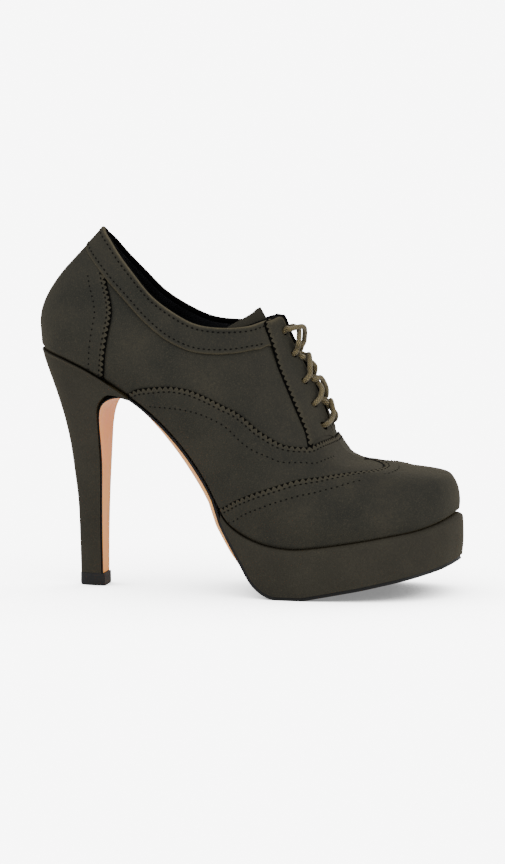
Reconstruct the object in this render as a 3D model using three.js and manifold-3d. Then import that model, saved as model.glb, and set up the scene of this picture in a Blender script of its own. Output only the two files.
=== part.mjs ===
// High-heeled oxford pump with a covered platform, right foot, millimetres, +Z up.
// The toe points along +X and the outer side of the foot faces -Y.
// The origin is on the floor under the ball of the foot.
import * as THREE from 'three';
import { mergeVertices } from 'three/addons/utils/BufferGeometryUtils.js';
import Module from 'manifold-3d';

const wasm = await Module();
wasm.setup();

// Driving sizes of the last.
const UPPER_LENGTH = 201;        // feather edge from the back of the heel to the toe, along X
const BALL_ALONG = 0.622;        // share of that length that lies behind the ball
const BALL_HALF_WIDTH = 38;      // half the width of the feather edge at the ball
const PLATFORM_HEIGHT = 23.6;    // feather edge above the floor at the ball
const SEAT_RISE = 91;            // heel seat above the ball, at the back
const BACK_HEIGHT = 57;          // back seam, from heel seat to topline
const TOE_SWING = 4;             // how far the toe turns in, at the tip
const TOE_REACH = UPPER_LENGTH * (1 - BALL_ALONG);

// Thicknesses and clearances.
const UPPER_WALL = 2.0;
const PANEL_THICK = 0.8;
const BAND_THICK = 1.2;
const INSOLE_THICK = 2.4;
const TONGUE_THICK = 1.8;
const OUTSOLE_THICK = 1.0;
const FOREPART_THICK = 2.0;
const LIFT_HEIGHT = 5.8;
const GAP = 0.3;                 // between two pieces that touch
const PANEL_GAP = 0.4;           // between the upper and what is stitched on it
const SEAM_ROWS = 0.06;          // the same between two panels, in section rows
const SEAM_SHARE = 0.008;        // and in shares of a section
const LACE_RADIUS = 1.5;
const EYELET_RADIUS = 1.9;
const SEAT_HEIGHT = PLATFORM_HEIGHT + SEAT_RISE;

// Sections of the last from the back seam to the toe. along, rise: the foot of the section.
// lean, crest: from there to its top. The rest are half widths as shares of the ball's,
// first at the feather edge (outer and inner side), then at four heights up to the top.
// shut: 0 where the top is an open edge, 1 where it is the closed ridge of the vamp.
const SECTION_COLUMNS = ['along', 'rise', 'lean', 'crest', 'outer', 'inner', 'side', 'flank',
  'shoulder', 'edge', 'shut'];
const SECTIONS = [
  [0.004, 0.996, 0.142, 1.00, 0, 0, 0, 0, 0, 0, 0],
  [0.014, 0.990, 0.138, 0.97, 0.26, 0.26, 0.30, 0.25, 0.15, 0.08, 0],
  [0.043, 0.973, 0.125, 0.93, 0.48, 0.47, 0.54, 0.45, 0.28, 0.16, 0],
  [0.088, 0.938, 0.105, 0.87, 0.60, 0.58, 0.67, 0.57, 0.38, 0.24, 0],
  [0.142, 0.883, 0.088, 0.81, 0.65, 0.62, 0.72, 0.64, 0.47, 0.33, 0],
  [0.202, 0.802, 0.073, 0.77, 0.64, 0.58, 0.73, 0.68, 0.54, 0.41, 0],
  [0.263, 0.710, 0.065, 0.79, 0.63, 0.54, 0.73, 0.71, 0.60, 0.48, 0],
  [0.319, 0.601, 0.067, 0.87, 0.63, 0.52, 0.74, 0.74, 0.65, 0.55, 0],
  [0.372, 0.472, 0.076, 1.05, 0.66, 0.54, 0.78, 0.79, 0.71, 0.60, 0],
  [0.420, 0.325, 0.090, 1.30, 0.72, 0.61, 0.84, 0.83, 0.73, 0.57, 0],
  [0.454, 0.195, 0.096, 1.55, 0.78, 0.70, 0.89, 0.85, 0.67, 0.34, 0.10],
  [0.483, 0.114, 0.09, 1.688, 0.84, 0.78, 0.94, 0.87, 0.61, 0.075, 0.25],
  [0.525, 0.054, 0.077, 1.588, 0.90, 0.88, 1.00, 0.89, 0.58, 0.075, 0.40],
  [0.578, 0.014, 0.061, 1.398, 0.95, 0.96, 1.04, 0.92, 0.57, 0.07, 0.50],
  [0.637, 0.00, 0.035, 1.186, 0.98, 1.01, 1.07, 0.94, 0.58, 0.065, 0.60],
  [0.690, 0.011, 0.012, 0.840, 0.99, 1.03, 1.08, 0.95, 0.59, 0, 1],
  [0.744, 0.029, -0.006, 0.680, 0.99, 1.03, 1.07, 0.96, 0.61, 0, 1],
  [0.802, 0.051, -0.010, 0.596, 0.98, 1.00, 1.05, 0.96, 0.63, 0, 1],
  [0.861, 0.076, -0.007, 0.521, 0.92, 0.93, 0.98, 0.91, 0.61, 0, 1],
  [0.911, 0.097, -0.007, 0.467, 0.82, 0.82, 0.88, 0.82, 0.56, 0, 1],
  [0.948, 0.121, -0.013, 0.411, 0.66, 0.65, 0.72, 0.67, 0.48, 0, 1],
  [0.974, 0.144, -0.021, 0.356, 0.44, 0.43, 0.48, 0.45, 0.33, 0, 1],
  [0.987, 0.159, -0.026, 0.314, 0, 0, 0, 0, 0, 0, 1],
].map(values => Object.fromEntries(SECTION_COLUMNS.map((name, i) => [name, values[i]])));
const LAST_ROW = SECTIONS.length - 1;
const THROAT_ROW = 15;           // where the lacing gap closes
const COLLAR_SHARES = [0, 0.25, 0.5, 0.75, 1];
const RIDGE_SHARES = [0, 0.28, 0.62, 0.90, 1];
const BACK_BULGE = [0, 0.113, 0.112, 0.068, 0];
const TOE_BULGE = [0, 0.115, 0.165, 0.10, 0];
const BACK_ROWS = 6;
const TOE_ROWS = 5;
const SIDES = [-1, 1];
const lerp = THREE.MathUtils.lerp;

// The five points of one section on one side, with a guide point beyond each end.
function sectionPoints(section, row, side) {
  const footX = (section.along - BALL_ALONG) * UPPER_LENGTH;
  const footZ = PLATFORM_HEIGHT + section.rise * SEAT_RISE;
  const reachX = section.lean * UPPER_LENGTH;
  const reachZ = section.crest * BACK_HEIGHT;
  const mean = (section.outer + section.inner) / 2;
  const seam = side < 0 ? section.outer : section.inner;
  const widths = [mean, section.side, section.flank, section.shoulder, section.edge];
  const backShare = Math.max(0, 1 - row / BACK_ROWS) ** 2;
  const toeShare = Math.max(0, 1 - (LAST_ROW - row) / TOE_ROWS) ** 2;
  const points = COLLAR_SHARES.map((share, k) => {
    const height = lerp(share, RIDGE_SHARES[k], section.shut);
    const bulge = TOE_BULGE[k] * toeShare - BACK_BULGE[k] * backShare;
    const width = widths[k] + (seam - mean) * (1 - share);
    return new THREE.Vector3(footX + reachX * height + reachZ * bulge,
      side * width * BALL_HALF_WIDTH, footZ + reachZ * height - reachX * bulge);
  });
  const [low, next] = points;
  const [under, top] = points.slice(-2);
  const turn = lerp(1, -1, section.shut);
  const above = new THREE.Vector3(top.x + (top.x - under.x) * turn, 2 * top.y - under.y,
    top.z + (top.z - under.z) * turn);
  return [low.clone().multiplyScalar(2).sub(next), ...points, above];
}

const LAST = Object.fromEntries(SIDES.map(side =>
  [side, SECTIONS.map((section, row) => sectionPoints(section, row, side))]));

// Smooth curve through b and c, with a and d as its neighbours.
function smooth(a, b, c, d, f) {
  const one = key => b[key] + 0.5 * f * (c[key] - a[key]
    + f * (2 * a[key] - 5 * b[key] + 4 * c[key] - d[key] + f * (3 * (b[key] - c[key]) + d[key] - a[key])));
  return new THREE.Vector3(one('x'), one('y'), one('z'));
}

// Point of a section row that may lie past the back seam or the toe, where it is mirrored.
function controlPoint(side, row, k) {
  const inside = row < 0 ? -row : row > LAST_ROW ? 2 * LAST_ROW - row : row;
  const point = LAST[side][inside][k].clone();
  if (inside !== row) point.y = -point.y;
  return point;
}

const NEAR = 1e-6;
const onSeam = (row, share) => row < NEAR || row > LAST_ROW - NEAR
  || (share > 1 - NEAR && row > THROAT_ROW - NEAR);

// The upper's outer face: row runs from the back seam to the toe, share from feather edge to top.
function straightLast(row, share, side) {
  const i = Math.min(Math.max(Math.floor(row), 0), LAST_ROW - 1);
  const k = Math.min(Math.max(Math.floor(share * 4), 0), 3);
  const column = c => smooth(controlPoint(side, i - 1, c), controlPoint(side, i, c),
    controlPoint(side, i + 1, c), controlPoint(side, i + 2, c), row - i);
  const point = smooth(column(k), column(k + 1), column(k + 2), column(k + 3), share * 4 - k);
  if (onSeam(row, share)) point.y = 0;
  point.y = side * Math.max(0, side * point.y);
  return point;
}

function swing(point) {
  const forward = Math.max(0, point.x) / TOE_REACH;
  point.y += TOE_SWING * forward * forward;
  return point;
}

function sideNormal(row, share, side) {
  const step = 0.02;
  const r = Math.min(Math.max(row, step), LAST_ROW - step);
  const s = Math.min(Math.max(share, step), 1 - step);
  const along = straightLast(r + step, s, side).sub(straightLast(r - step, s, side));
  const up = straightLast(r, s + step, side).sub(straightLast(r, s - step, side));
  return along.cross(up).multiplyScalar(-side).normalize();
}

// Outward normal, level at the feather edge, the same for both sides on a seam, and straight
// ahead where the lacing gap closes.
const FEATHER_BLEND = 0.1;
const RIDGE_BLEND = 0.1;
function normal(row, share, side) {
  const n = sideNormal(row, share, side);
  if (onSeam(row, share)) n.add(sideNormal(row, share, -side)).setY(0);
  const closing = Math.min(1, Math.max(0, row - THROAT_ROW + 1));
  if (row < THROAT_ROW) n.y *= 1 - closing * Math.max(0, 1 - (1 - share) / RIDGE_BLEND);
  n.z *= Math.min(1, Math.max(0, share) / FEATHER_BLEND);
  return n.normalize();
}

// Point at a height off the upper's outer face.
function onLast(row, share, side, off = 0) {
  const point = straightLast(row, share, side).addScaledVector(normal(row, share, side), off);
  return swing(point);
}

// A value read from a short table whose first column rises.
function along(table, key, value, x) {
  const next = Math.max(1, table.findIndex(entry => entry[key] >= x));
  const at = table[table.length - 1][key] <= x ? table.length - 1 : next;
  const [low, high] = [table[at - 1], table[at]];
  const f = Math.min(1, Math.max(0, (x - low[key]) / (high[key] - low[key])));
  return lerp(low[value], high[value], f);
}

const steps = (from, to, count) => Array.from({ length: count + 1 }, (_, i) => lerp(from, to, i / count));

// Collects quads and makes one closed geometry of them.
class Surface {
  constructor() { this.positions = []; }

  triangle(a, b, c) {
    for (const p of [a, b, c]) this.positions.push(p.x, p.y, p.z);
  }

  quad(a, b, c, d, flip) {
    if (flip) [b, d] = [d, b];
    this.triangle(a, b, c);
    this.triangle(a, c, d);
  }

  // A panel between an outer and an inner grid; walls says which of its edges are open.
  panel(outer, inner, flip, walls) {
    const rows = outer.length - 1;
    const columns = outer[0].length - 1;
    for (let i = 0; i < rows; i++) {
      for (let j = 0; j < columns; j++) {
        this.quad(outer[i][j], outer[i + 1][j], outer[i + 1][j + 1], outer[i][j + 1], flip);
        this.quad(inner[i][j], inner[i][j + 1], inner[i + 1][j + 1], inner[i + 1][j], flip);
      }
      this.quad(outer[i][0], inner[i][0], inner[i + 1][0], outer[i + 1][0], flip);
      if (walls.top(i)) {
        this.quad(outer[i][columns], outer[i + 1][columns], inner[i + 1][columns], inner[i][columns], flip);
      }
    }
    for (let j = 0; j < columns; j++) {
      if (walls.start) this.quad(outer[0][j], outer[0][j + 1], inner[0][j + 1], inner[0][j], flip);
      if (walls.end) {
        this.quad(outer[rows][j], inner[rows][j], inner[rows][j + 1], outer[rows][j + 1], flip);
      }
    }
    return this;
  }

  // A solid through closed rings with the same count of points; each end is a ladder across.
  rings(rings) {
    const count = rings[0].length;
    for (let i = 0; i < rings.length - 1; i++) {
      for (let j = 0; j < count; j++) {
        const k = (j + 1) % count;
        this.quad(rings[i][j], rings[i][k], rings[i + 1][k], rings[i + 1][j], false);
      }
    }
    for (const [ring, flip] of [[rings[0], true], [rings[rings.length - 1], false]]) {
      for (let j = 0; j < Math.floor(count / 2); j++) {
        const [a, b, c, d] = [ring[j], ring[j + 1], ring[count - 2 - j], ring[count - 1 - j]];
        if (j + 1 < count - 2 - j) this.quad(a, b, c, d, flip);
        else if (j + 1 === count - 2 - j) this[flip ? 'backTriangle' : 'triangle'](a, b, d);
      }
    }
    return this;
  }

  backTriangle(a, b, c) { this.triangle(a, c, b); }

  geometry() {
    const raw = new THREE.BufferGeometry();
    raw.setAttribute('position', new THREE.Float32BufferAttribute(this.positions, 3));
    return facingOut(withoutSlivers(mergeVertices(raw, 1e-3)));
  }
}

// Drops triangles that two merged points have flattened to a line.
function withoutSlivers(geometry) {
  const index = Array.from(geometry.index.array);
  const kept = [];
  for (let i = 0; i < index.length; i += 3) {
    const [a, b, c] = index.slice(i, i + 3);
    if (a !== b && b !== c && a !== c) kept.push(a, b, c);
  }
  geometry.setIndex(kept);
  return geometry;
}

function facingOut(geometry) {
  const [p, index] = [geometry.attributes.position, geometry.index.array];
  const [a, b, c] = [0, 1, 2].map(() => new THREE.Vector3());
  let volume = 0;
  for (let i = 0; i < index.length; i += 3) {
    a.fromBufferAttribute(p, index[i]);
    b.fromBufferAttribute(p, index[i + 1]);
    c.fromBufferAttribute(p, index[i + 2]);
    volume += a.dot(b.cross(c));
  }
  if (volume < 0) {
    for (let i = 0; i < index.length; i += 3) [index[i], index[i + 1]] = [index[i + 1], index[i]];
  }
  return geometry;
}

function toSolid(geometry) {
  const bare = geometry.clone();
  bare.deleteAttribute('normal');
  bare.deleteAttribute('uv');
  const merged = mergeVertices(bare, 1e-4);
  return new wasm.Manifold(new wasm.Mesh({
    numProp: 3,
    vertProperties: Float32Array.from(merged.attributes.position.array),
    triVerts: Uint32Array.from(merged.index.array),
  }));
}

function toGeometry(solid) {
  const mesh = solid.getMesh();
  const geometry = new THREE.BufferGeometry();
  geometry.setAttribute('position', new THREE.Float32BufferAttribute(mesh.vertProperties, 3));
  geometry.setIndex(Array.from(mesh.triVerts));
  return geometry;
}

const shoe = new THREE.Group();
function add(name, geometry, look) {
  const mesh = new THREE.Mesh(geometry, new THREE.MeshStandardMaterial(look));
  mesh.name = name;
  shoe.add(mesh);
}
const NUBUCK = { color: '#4a4740', roughness: 0.9, metalness: 0 };
const LINING = { color: '#1d1c1f', roughness: 0.45, metalness: 0 };
const SOLE_LEATHER = { color: '#e8bd8d', roughness: 0.5, metalness: 0 };
const LACE_CORD = { color: '#7c7154', roughness: 0.6, metalness: 0 };
const BLACK_RUBBER = { color: '#26262a', roughness: 0.7, metalness: 0 };

// Panels of the upper
const OPEN = { top: () => true, start: true, end: true };

// Rows and shares where the upper and the panels on it share their corners.
const LATTICE_ROWS = [0, 0.5, 1, 1.5, 2, 3, 4, 5, 6, 7, 8, 9, 9.5, 10, 10.5, 11, 12, 13, 14, 14.5, 15, 15.5,
  16, 17, 18, 19, 20, 20.5, 21, 21.5, 22];
const LATTICE_SHARES = [0, 0.12, 0.25, 0.37, 0.47, 0.505, 0.56, 0.64, 0.75, 0.86, 0.93, 1];

// Walls of a panel that is one piece round the back seam.
const ROUND_BACK = { top: () => true, start: false, end: true };

// A panel on one side: place gives the row and share for each row and column of its own grid.
function sidePanel(surface, side, place, [low, high], rows, columns, walls) {
  const grid = off => rows.map(u => columns.map(v => {
    const [row, share] = place(u, v);
    return onLast(row, share, side, off);
  }));
  surface.panel(grid(high), grid(low), side > 0, walls);
}

// Eyelets, from the top pair down: row, and share on each side.
const EYELETS = [
  { row: 11.40, share: 0.94 },
  { row: 12.20, share: 0.93 },
  { row: 12.97, share: 0.895 },
  { row: 13.75, share: 0.87 },
  { row: 14.44, share: 0.875 },
];
const HOLE_DEPTH = 8;            // of the cutter, through every layer
const HOLE_SIDES = 8;

function eyeletHoles(sides) {
  const holes = sides.flatMap(side => EYELETS.map(({ row, share }) => {
    const geometry = new THREE.CylinderGeometry(EYELET_RADIUS, EYELET_RADIUS, HOLE_DEPTH, HOLE_SIDES);
    const axis = normal(row, share, side);
    geometry.applyQuaternion(new THREE.Quaternion().setFromUnitVectors(new THREE.Vector3(0, 1, 0), axis));
    const at = onLast(row, share, side, -UPPER_WALL / 2);
    geometry.translate(at.x, at.y, at.z);
    return toSolid(geometry);
  }));
  return holes.reduce((all, hole) => all.add(hole));
}

function upperShell() {
  const surface = new Surface();
  for (const side of SIDES) {
    sidePanel(surface, side, (row, share) => [row, share], [-UPPER_WALL, 0], LATTICE_ROWS, LATTICE_SHARES,
      { top: i => LATTICE_ROWS[i] < THROAT_ROW, start: false, end: false });
  }
  return toGeometry(toSolid(surface.geometry()).subtract(eyeletHoles(SIDES)));
}

// Lower edge of the collar band.
const BAND_EDGE = [
  { row: 0, share: 0.81 }, { row: 1, share: 0.80 }, { row: 2.5, share: 0.78 }, { row: 4, share: 0.77 },
  { row: 5.4, share: 0.75 }, { row: 6.3, share: 0.75 }, { row: 7.2, share: 0.772 }, { row: 8, share: 0.80 },
  { row: 8.7, share: 0.83 }, { row: 9.6, share: 0.84 }, { row: 11, share: 0.81 },
];
// Front edge of the heel counter.
const COUNTER_EDGE = [
  { share: 0, row: 4.4 }, { share: 0.24, row: 4.25 }, { share: 0.45, row: 4.0 }, { share: 0.59, row: 3.7 },
  { share: 0.68, row: 3.3 }, { share: 0.78, row: 2.55 },
];
// Back edge of a facing.
const FACING_EDGE = [
  { row: 9.8, share: 1 }, { row: 10.3, share: 0.92 }, { row: 11.2, share: 0.835 },
  { row: 12.15, share: 0.80 }, { row: 13, share: 0.75 }, { row: 13.9, share: 0.70 }, { row: 14.3, share: 0.655 },
];
// Upper edge of the vamp, which runs back along the arch.
const VAMP_EDGE = [
  { share: 0, row: 5.4 }, { share: 0.13, row: 5.7 }, { share: 0.26, row: 6.2 }, { share: 0.36, row: 6.7 },
  { share: 0.44, row: 7.25 }, { share: 0.49, row: 8.3 }, { share: 0.50, row: 10.5 },
  { share: 0.515, row: 12.3 }, { share: 0.55, row: 13.3 }, { share: 0.60, row: 13.9 }, { share: 0.68, row: 14.35 },
  { share: 0.80, row: 14.7 }, { share: 1, row: 15.05 },
];
// Back edge of the wing cap, with its peak on the ridge.
const WING_EDGE = [
  { share: 0, row: 10.0 }, { share: 0.13, row: 11.15 }, { share: 0.28, row: 12.5 },
  { share: 0.46, row: 14.25 }, { share: 0.58, row: 15.2 }, { share: 0.68, row: 16.1 }, { share: 0.76, row: 17.05 },
  { share: 0.86, row: 17.6 }, { share: 0.92, row: 17.4 }, { share: 1, row: 16.7 },
];

const bandEdge = row => along(BAND_EDGE, 'row', 'share', row);
const facingEdge = row => along(FACING_EDGE, 'row', 'share', row);
const vampEdge = share => along(VAMP_EDGE, 'share', 'row', share);
const wingEdge = share => along(WING_EDGE, 'share', 'row', share);
const counterEdge = share => along(COUNTER_EDGE, 'share', 'row', share);
const PANEL_LAYER = [PANEL_GAP, PANEL_GAP + PANEL_THICK];
const BAND_LAYER = [PANEL_GAP, PANEL_GAP + BAND_THICK];
const BAND_TOP = 0.995;
const BAND_SHARES = [0, 0.5, 1];
const BAND_END = { low: 11.1, high: 9.6 };  // row where the band goes under the facing
const FACING_TOP_ROW = 10.0;
const FACING_FOOT = 0.66;        // share at the back corner of the facing's foot
const FACING_FRONT = 0.997;
const FACING_SHARES = [0, 0.35, 0.7, 1];
const COUNTER_END_ROW = 5;       // past the counter's front edge everywhere
const COUNTER_TOP_SHARE = 0.81;  // and past its top edge

function collarBand() {
  const surface = new Surface();
  const place = (wanted, v) => {
    const row = Math.min(wanted, lerp(BAND_END.low, BAND_END.high, v));
    return [row, lerp(bandEdge(row), BAND_TOP, v)];
  };
  const rows = LATTICE_ROWS.filter(row => row < BAND_END.low + 0.5);
  for (const side of SIDES) {
    sidePanel(surface, side, place, BAND_LAYER, rows, BAND_SHARES, ROUND_BACK);
  }
  return surface.geometry();
}

function heelCounter() {
  const surface = new Surface();
  const place = (wanted, v) => {
    const row = Math.min(wanted, counterEdge(v));
    return [row, Math.min(v, bandEdge(row) - 2 * SEAM_SHARE)];
  };
  const rows = LATTICE_ROWS.filter(row => row <= COUNTER_END_ROW);
  const columns = [...LATTICE_SHARES.filter(share => share < COUNTER_TOP_SHARE), COUNTER_TOP_SHARE];
  for (const side of SIDES) {
    sidePanel(surface, side, place, PANEL_LAYER, rows, columns, ROUND_BACK);
  }
  return surface.geometry();
}

function facing(side) {
  const surface = new Surface();
  const place = (wanted, v) => {
    const end = vampEdge(lerp(FACING_FOOT, 1, v)) - 3 * SEAM_ROWS;
    const row = Math.min(Math.max(wanted, FACING_TOP_ROW), end);
    return [row, lerp(facingEdge(row) + SEAM_SHARE, FACING_FRONT, v)];
  };
  const rows = LATTICE_ROWS.filter(row => row >= FACING_TOP_ROW && row <= THROAT_ROW);
  sidePanel(surface, side, place, PANEL_LAYER, rows, FACING_SHARES, OPEN);
  return toGeometry(toSolid(surface.geometry()).subtract(eyeletHoles([side])));
}

function frontPanel(startRow, endRow, end) {
  const surface = new Surface();
  const place = (wanted, share) => [Math.min(Math.max(wanted, startRow(share)), endRow(share)), share];
  for (const side of SIDES) {
    sidePanel(surface, side, place, PANEL_LAYER, LATTICE_ROWS, LATTICE_SHARES,
      { top: () => false, start: true, end });
  }
  return surface.geometry();
}

add('upper', upperShell(), NUBUCK);
add('collar_band', collarBand(), NUBUCK);
add('heel_counter', heelCounter(), NUBUCK);
add('facing_outer', facing(-1), NUBUCK);
add('facing_inner', facing(1), NUBUCK);
add('vamp', frontPanel(vampEdge, share => wingEdge(share) - SEAM_ROWS, true), NUBUCK);
add('wing_cap', frontPanel(wingEdge, () => LAST_ROW, false), NUBUCK);

// Insole, inside the upper's wall
const INSOLE_ROWS = [0.2, 0.6, ...steps(1, 21, 20), 21.5, 21.85];
const INSOLE_COLUMNS = 3;

// A plate from a ladder of grid rows, with its upper face raised by the thickness.
function plate(grid, raise, flip = true) {
  const upper = grid.map((line, i) => line.map((point, j) => point.clone().add(raise(i, j))));
  return new Surface().panel(grid, upper, flip, OPEN).geometry();
}

function insole() {
  const inset = -(UPPER_WALL + GAP);
  const grid = INSOLE_ROWS.map(row => {
    const [left, right] = SIDES.map(side => onLast(row, 0, side, inset));
    return steps(0, 1, INSOLE_COLUMNS).map(v => new THREE.Vector3().lerpVectors(left, right, v));
  });
  const up = new THREE.Vector3(0, 0, INSOLE_THICK);
  return plate(grid, () => up);
}
add('insole', insole(), LINING);

// Tongue, under the facings: its rows follow the last, and two more stand free above the lacing.
const TONGUE_ROWS = [15.5, 14.9, 14.2, 13.4, 12.6, 11.9];
const TONGUE_SHARES = [0.80, 0.86, 0.92, 0.97, 1];
const TONGUE_DEPTH = UPPER_WALL + GAP + 0.7;
const TONGUE_CROWN = 0.8;
const TONGUE_LEAN = new THREE.Vector3(-0.85, 0, -0.5);  // from its outer face to its inner one
const TONGUE_DRAW = 0.045;       // how far the inner face draws in for each millimetre off the middle
// The free rows, in shares of the back's height: how far back and up the middle and the corners stand.
const TONGUE_TOP = [
  { back: 0.154, up: 0.114, cornerBack: 0.246, cornerUp: 0.149, narrow: 0.99 },
  { back: 0.232, up: 0.235, cornerBack: 0.421, cornerUp: 0.307, narrow: 0.95 },
];

// A row of the tongue that follows the last, from the outer side to the inner.
function tongueLine(row) {
  const [left, right] = SIDES.map(side =>
    TONGUE_SHARES.map(share => onLast(row, share, side, -TONGUE_DEPTH)));
  const middle = left.at(-1).clone().add(right.at(-1)).multiplyScalar(0.5);
  if (row < THROAT_ROW) {
    middle.addScaledVector(normal(row, 1, 1).setY(0).normalize(), TONGUE_CROWN);
    return [...left, middle, ...right.reverse()];
  }
  const [outer, inner] = [left, right].map(line =>
    [...line.slice(0, -1), line.at(-2).clone().lerp(middle, 0.5)]);
  return [...outer, middle, ...inner.reverse()];
}

function tongue() {
  const rows = TONGUE_ROWS.map(tongueLine);
  const last = rows.at(-1);
  for (const { back, up, cornerBack, cornerUp, narrow } of TONGUE_TOP) {
    rows.push(last.map(p => {
      const corner = Math.min(1, Math.abs(p.y / last[0].y));
      return new THREE.Vector3(p.x - BACK_HEIGHT * lerp(back, cornerBack, corner), p.y * narrow,
        p.z + BACK_HEIGHT * lerp(up, cornerUp, corner));
    }));
  }
  return plate(rows, (i, j) => {
    const aside = rows[i][j].y - rows[i][TONGUE_SHARES.length].y;
    return TONGUE_LEAN.clone().setY(-TONGUE_DRAW * aside).multiplyScalar(TONGUE_THICK);
  });
}
add('tongue', tongue(), NUBUCK);

// Line of the sole's underside from the arch to the toe: along from the ball, as a share of the
// upper's length, and up as a share of the platform's height.
const SOLE_LINE = [
  { x: -0.184, z: 1.754 }, { x: -0.167, z: 1.424 }, { x: -0.137, z: 1 }, { x: -0.111, z: 0.627 },
  { x: -0.097, z: 0.419 }, { x: -0.082, z: 0.254 }, { x: -0.061, z: 0.110 }, { x: -0.040, z: 0.030 },
  { x: -0.020, z: 0 }, { x: 0.035, z: 0 }, { x: 0.085, z: 0.076 }, { x: 0.133, z: 0.157 },
  { x: 0.181, z: 0.237 }, { x: 0.227, z: 0.326 }, { x: 0.272, z: 0.411 }, { x: 0.314, z: 0.504 },
  { x: 0.354, z: 0.606 }, { x: 0.385, z: 0.720 }, { x: 0.398, z: 0.788 },
];
const soleLine = x => PLATFORM_HEIGHT * along(SOLE_LINE, 'x', 'z', x / UPPER_LENGTH);
// Height that a plate of this thickness takes where the line is steep.
function steepened(x, thickness) {
  const slope = (soleLine(x + 1) - soleLine(x - 1)) / 2;
  return thickness * Math.hypot(1, slope);
}

const FOREPART_GAP = 0.45;
const PLATFORM_START = 10.25;
const PLATFORM_ROWS = [PLATFORM_START, ...steps(10.6, 21, 18), 21.35, 21.7, LAST_ROW];
// Wall of the platform from its top edge down: share of the height and how far it stands out.
const PLATFORM_WALL = [
  { down: 0, out: 1.5 }, { down: 0.10, out: 2.6 }, { down: 0.35, out: 3.3 }, { down: 0.7, out: 3.3 },
  { down: 1, out: 2.8 },
];
const WEDGE_ROWS = 3;            // rows over which the wall swells from the thin end of the wedge
const WEDGE_OUT = 1.2;           // how far it stands out there

function platform() {
  const rings = PLATFORM_ROWS.map(row => {
    const swell = Math.min(1, (row - PLATFORM_START) / WEDGE_ROWS);
    const wall = side => PLATFORM_WALL.map(({ down, out }) => {
      const edge = onLast(row, 0, side, lerp(WEDGE_OUT, out, swell));
      const foot = onLast(row, 0, side);
      const low = soleLine(edge.x) + steepened(edge.x, FOREPART_THICK + FOREPART_GAP);
      return new THREE.Vector3(edge.x, edge.y, lerp(foot.z - GAP, low, down));
    });
    const [left, right] = SIDES.map(wall);
    const across = (level, v) => new THREE.Vector3().lerpVectors(left[level], right[level], v);
    const last = PLATFORM_WALL.length - 1;
    return [across(0, 2 / 3), ...right, across(last, 2 / 3), across(last, 1 / 3), ...left.toReversed(),
      across(0, 1 / 3)];
  });
  return new Surface().rings(rings).geometry();
}
add('platform', platform(), NUBUCK);

// Outsole: the breast flap up the front of the heel, the arch and the forepart.
// Along is a share of the upper's length, up a share of the seat's height, half of the ball's half width.
const BREAST = [
  { x: -0.4726, z: 0.054, half: 0.171 }, { x: -0.4731, z: 0.195, half: 0.192 },
  { x: -0.4721, z: 0.364, half: 0.224 }, { x: -0.4701, z: 0.506, half: 0.263 },
  { x: -0.4701, z: 0.598, half: 0.324 }, { x: -0.4706, z: 0.661, half: 0.384 },
  { x: -0.4687, z: 0.717, half: 0.458 }, { x: -0.4627, z: 0.756, half: 0.526 },
  { x: -0.4517, z: 0.780, half: 0.574 }, { x: -0.4353, z: 0.796, half: 0.600 },
  { x: -0.4159, z: 0.802, half: 0.611 },
];
const ARCH_ROWS = steps(5.55, 9.6, 8);
const FOREPART_ROWS = [10.05, 10.5, ...steps(11, 21, 18), 21.35, 21.7, LAST_ROW];
const OUTSOLE_OUT = 3.0;
const OUTSOLE_START = { row: 10, out: 0.6 };  // where the forepart comes out from under the wedge
const OUTSOLE_COLUMNS = 6;
const ARCH_CROWN = 3.2;          // how far the shank's underside bellies down

function archTurn(row) {
  const [before, after] = [onLast(row - 0.1, 0, -1), onLast(row + 0.1, 0, -1)];
  return new THREE.Vector3(after.z - before.z, 0, before.x - after.x).normalize();
}

function outsole() {
  const belly = v => 1 - (2 * v - 1) ** 2;
  const breast = BREAST.map(({ x, z, half }) => steps(-1, 1, OUTSOLE_COLUMNS)
    .map(v => new THREE.Vector3(x * UPPER_LENGTH, v * half * BALL_HALF_WIDTH, z * SEAT_HEIGHT)));
  const arch = ARCH_ROWS.map((row, i) => {
    const down = archTurn(row);
    const [left, right] = SIDES.map(side => onLast(row, 0, side).addScaledVector(down, GAP + OUTSOLE_THICK));
    const swell = Math.sin(Math.PI * Math.min(1, (i + 1) / ARCH_ROWS.length)) * ARCH_CROWN;
    return steps(0, 1, OUTSOLE_COLUMNS).map(v =>
      new THREE.Vector3().lerpVectors(left, right, v).addScaledVector(down, swell * belly(v)));
  });
  const forepart = FOREPART_ROWS.map(row => {
    const out = lerp(OUTSOLE_START.out, OUTSOLE_OUT, Math.min(1, (row - OUTSOLE_START.row) / WEDGE_ROWS));
    const [left, right] = SIDES.map(side => onLast(row, 0, side, out));
    return steps(0, 1, OUTSOLE_COLUMNS).map(v => {
      const point = new THREE.Vector3().lerpVectors(left, right, v);
      point.z = soleLine(point.x);
      return point;
    });
  });
  const grid = [...breast, ...arch, ...forepart];
  const turn = i => {
    const [before, after] = [Math.max(0, i - 1), Math.min(grid.length - 1, i + 1)]
      .map(at => grid[at][OUTSOLE_COLUMNS / 2]);
    return new THREE.Vector3(before.z - after.z, 0, after.x - before.x).normalize();
  };
  const archEnd = breast.length + arch.length;
  return plate(grid, i => turn(i).multiplyScalar(i < archEnd ? OUTSOLE_THICK : FOREPART_THICK));
}
add('outsole', outsole(), SOLE_LEATHER);

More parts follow.
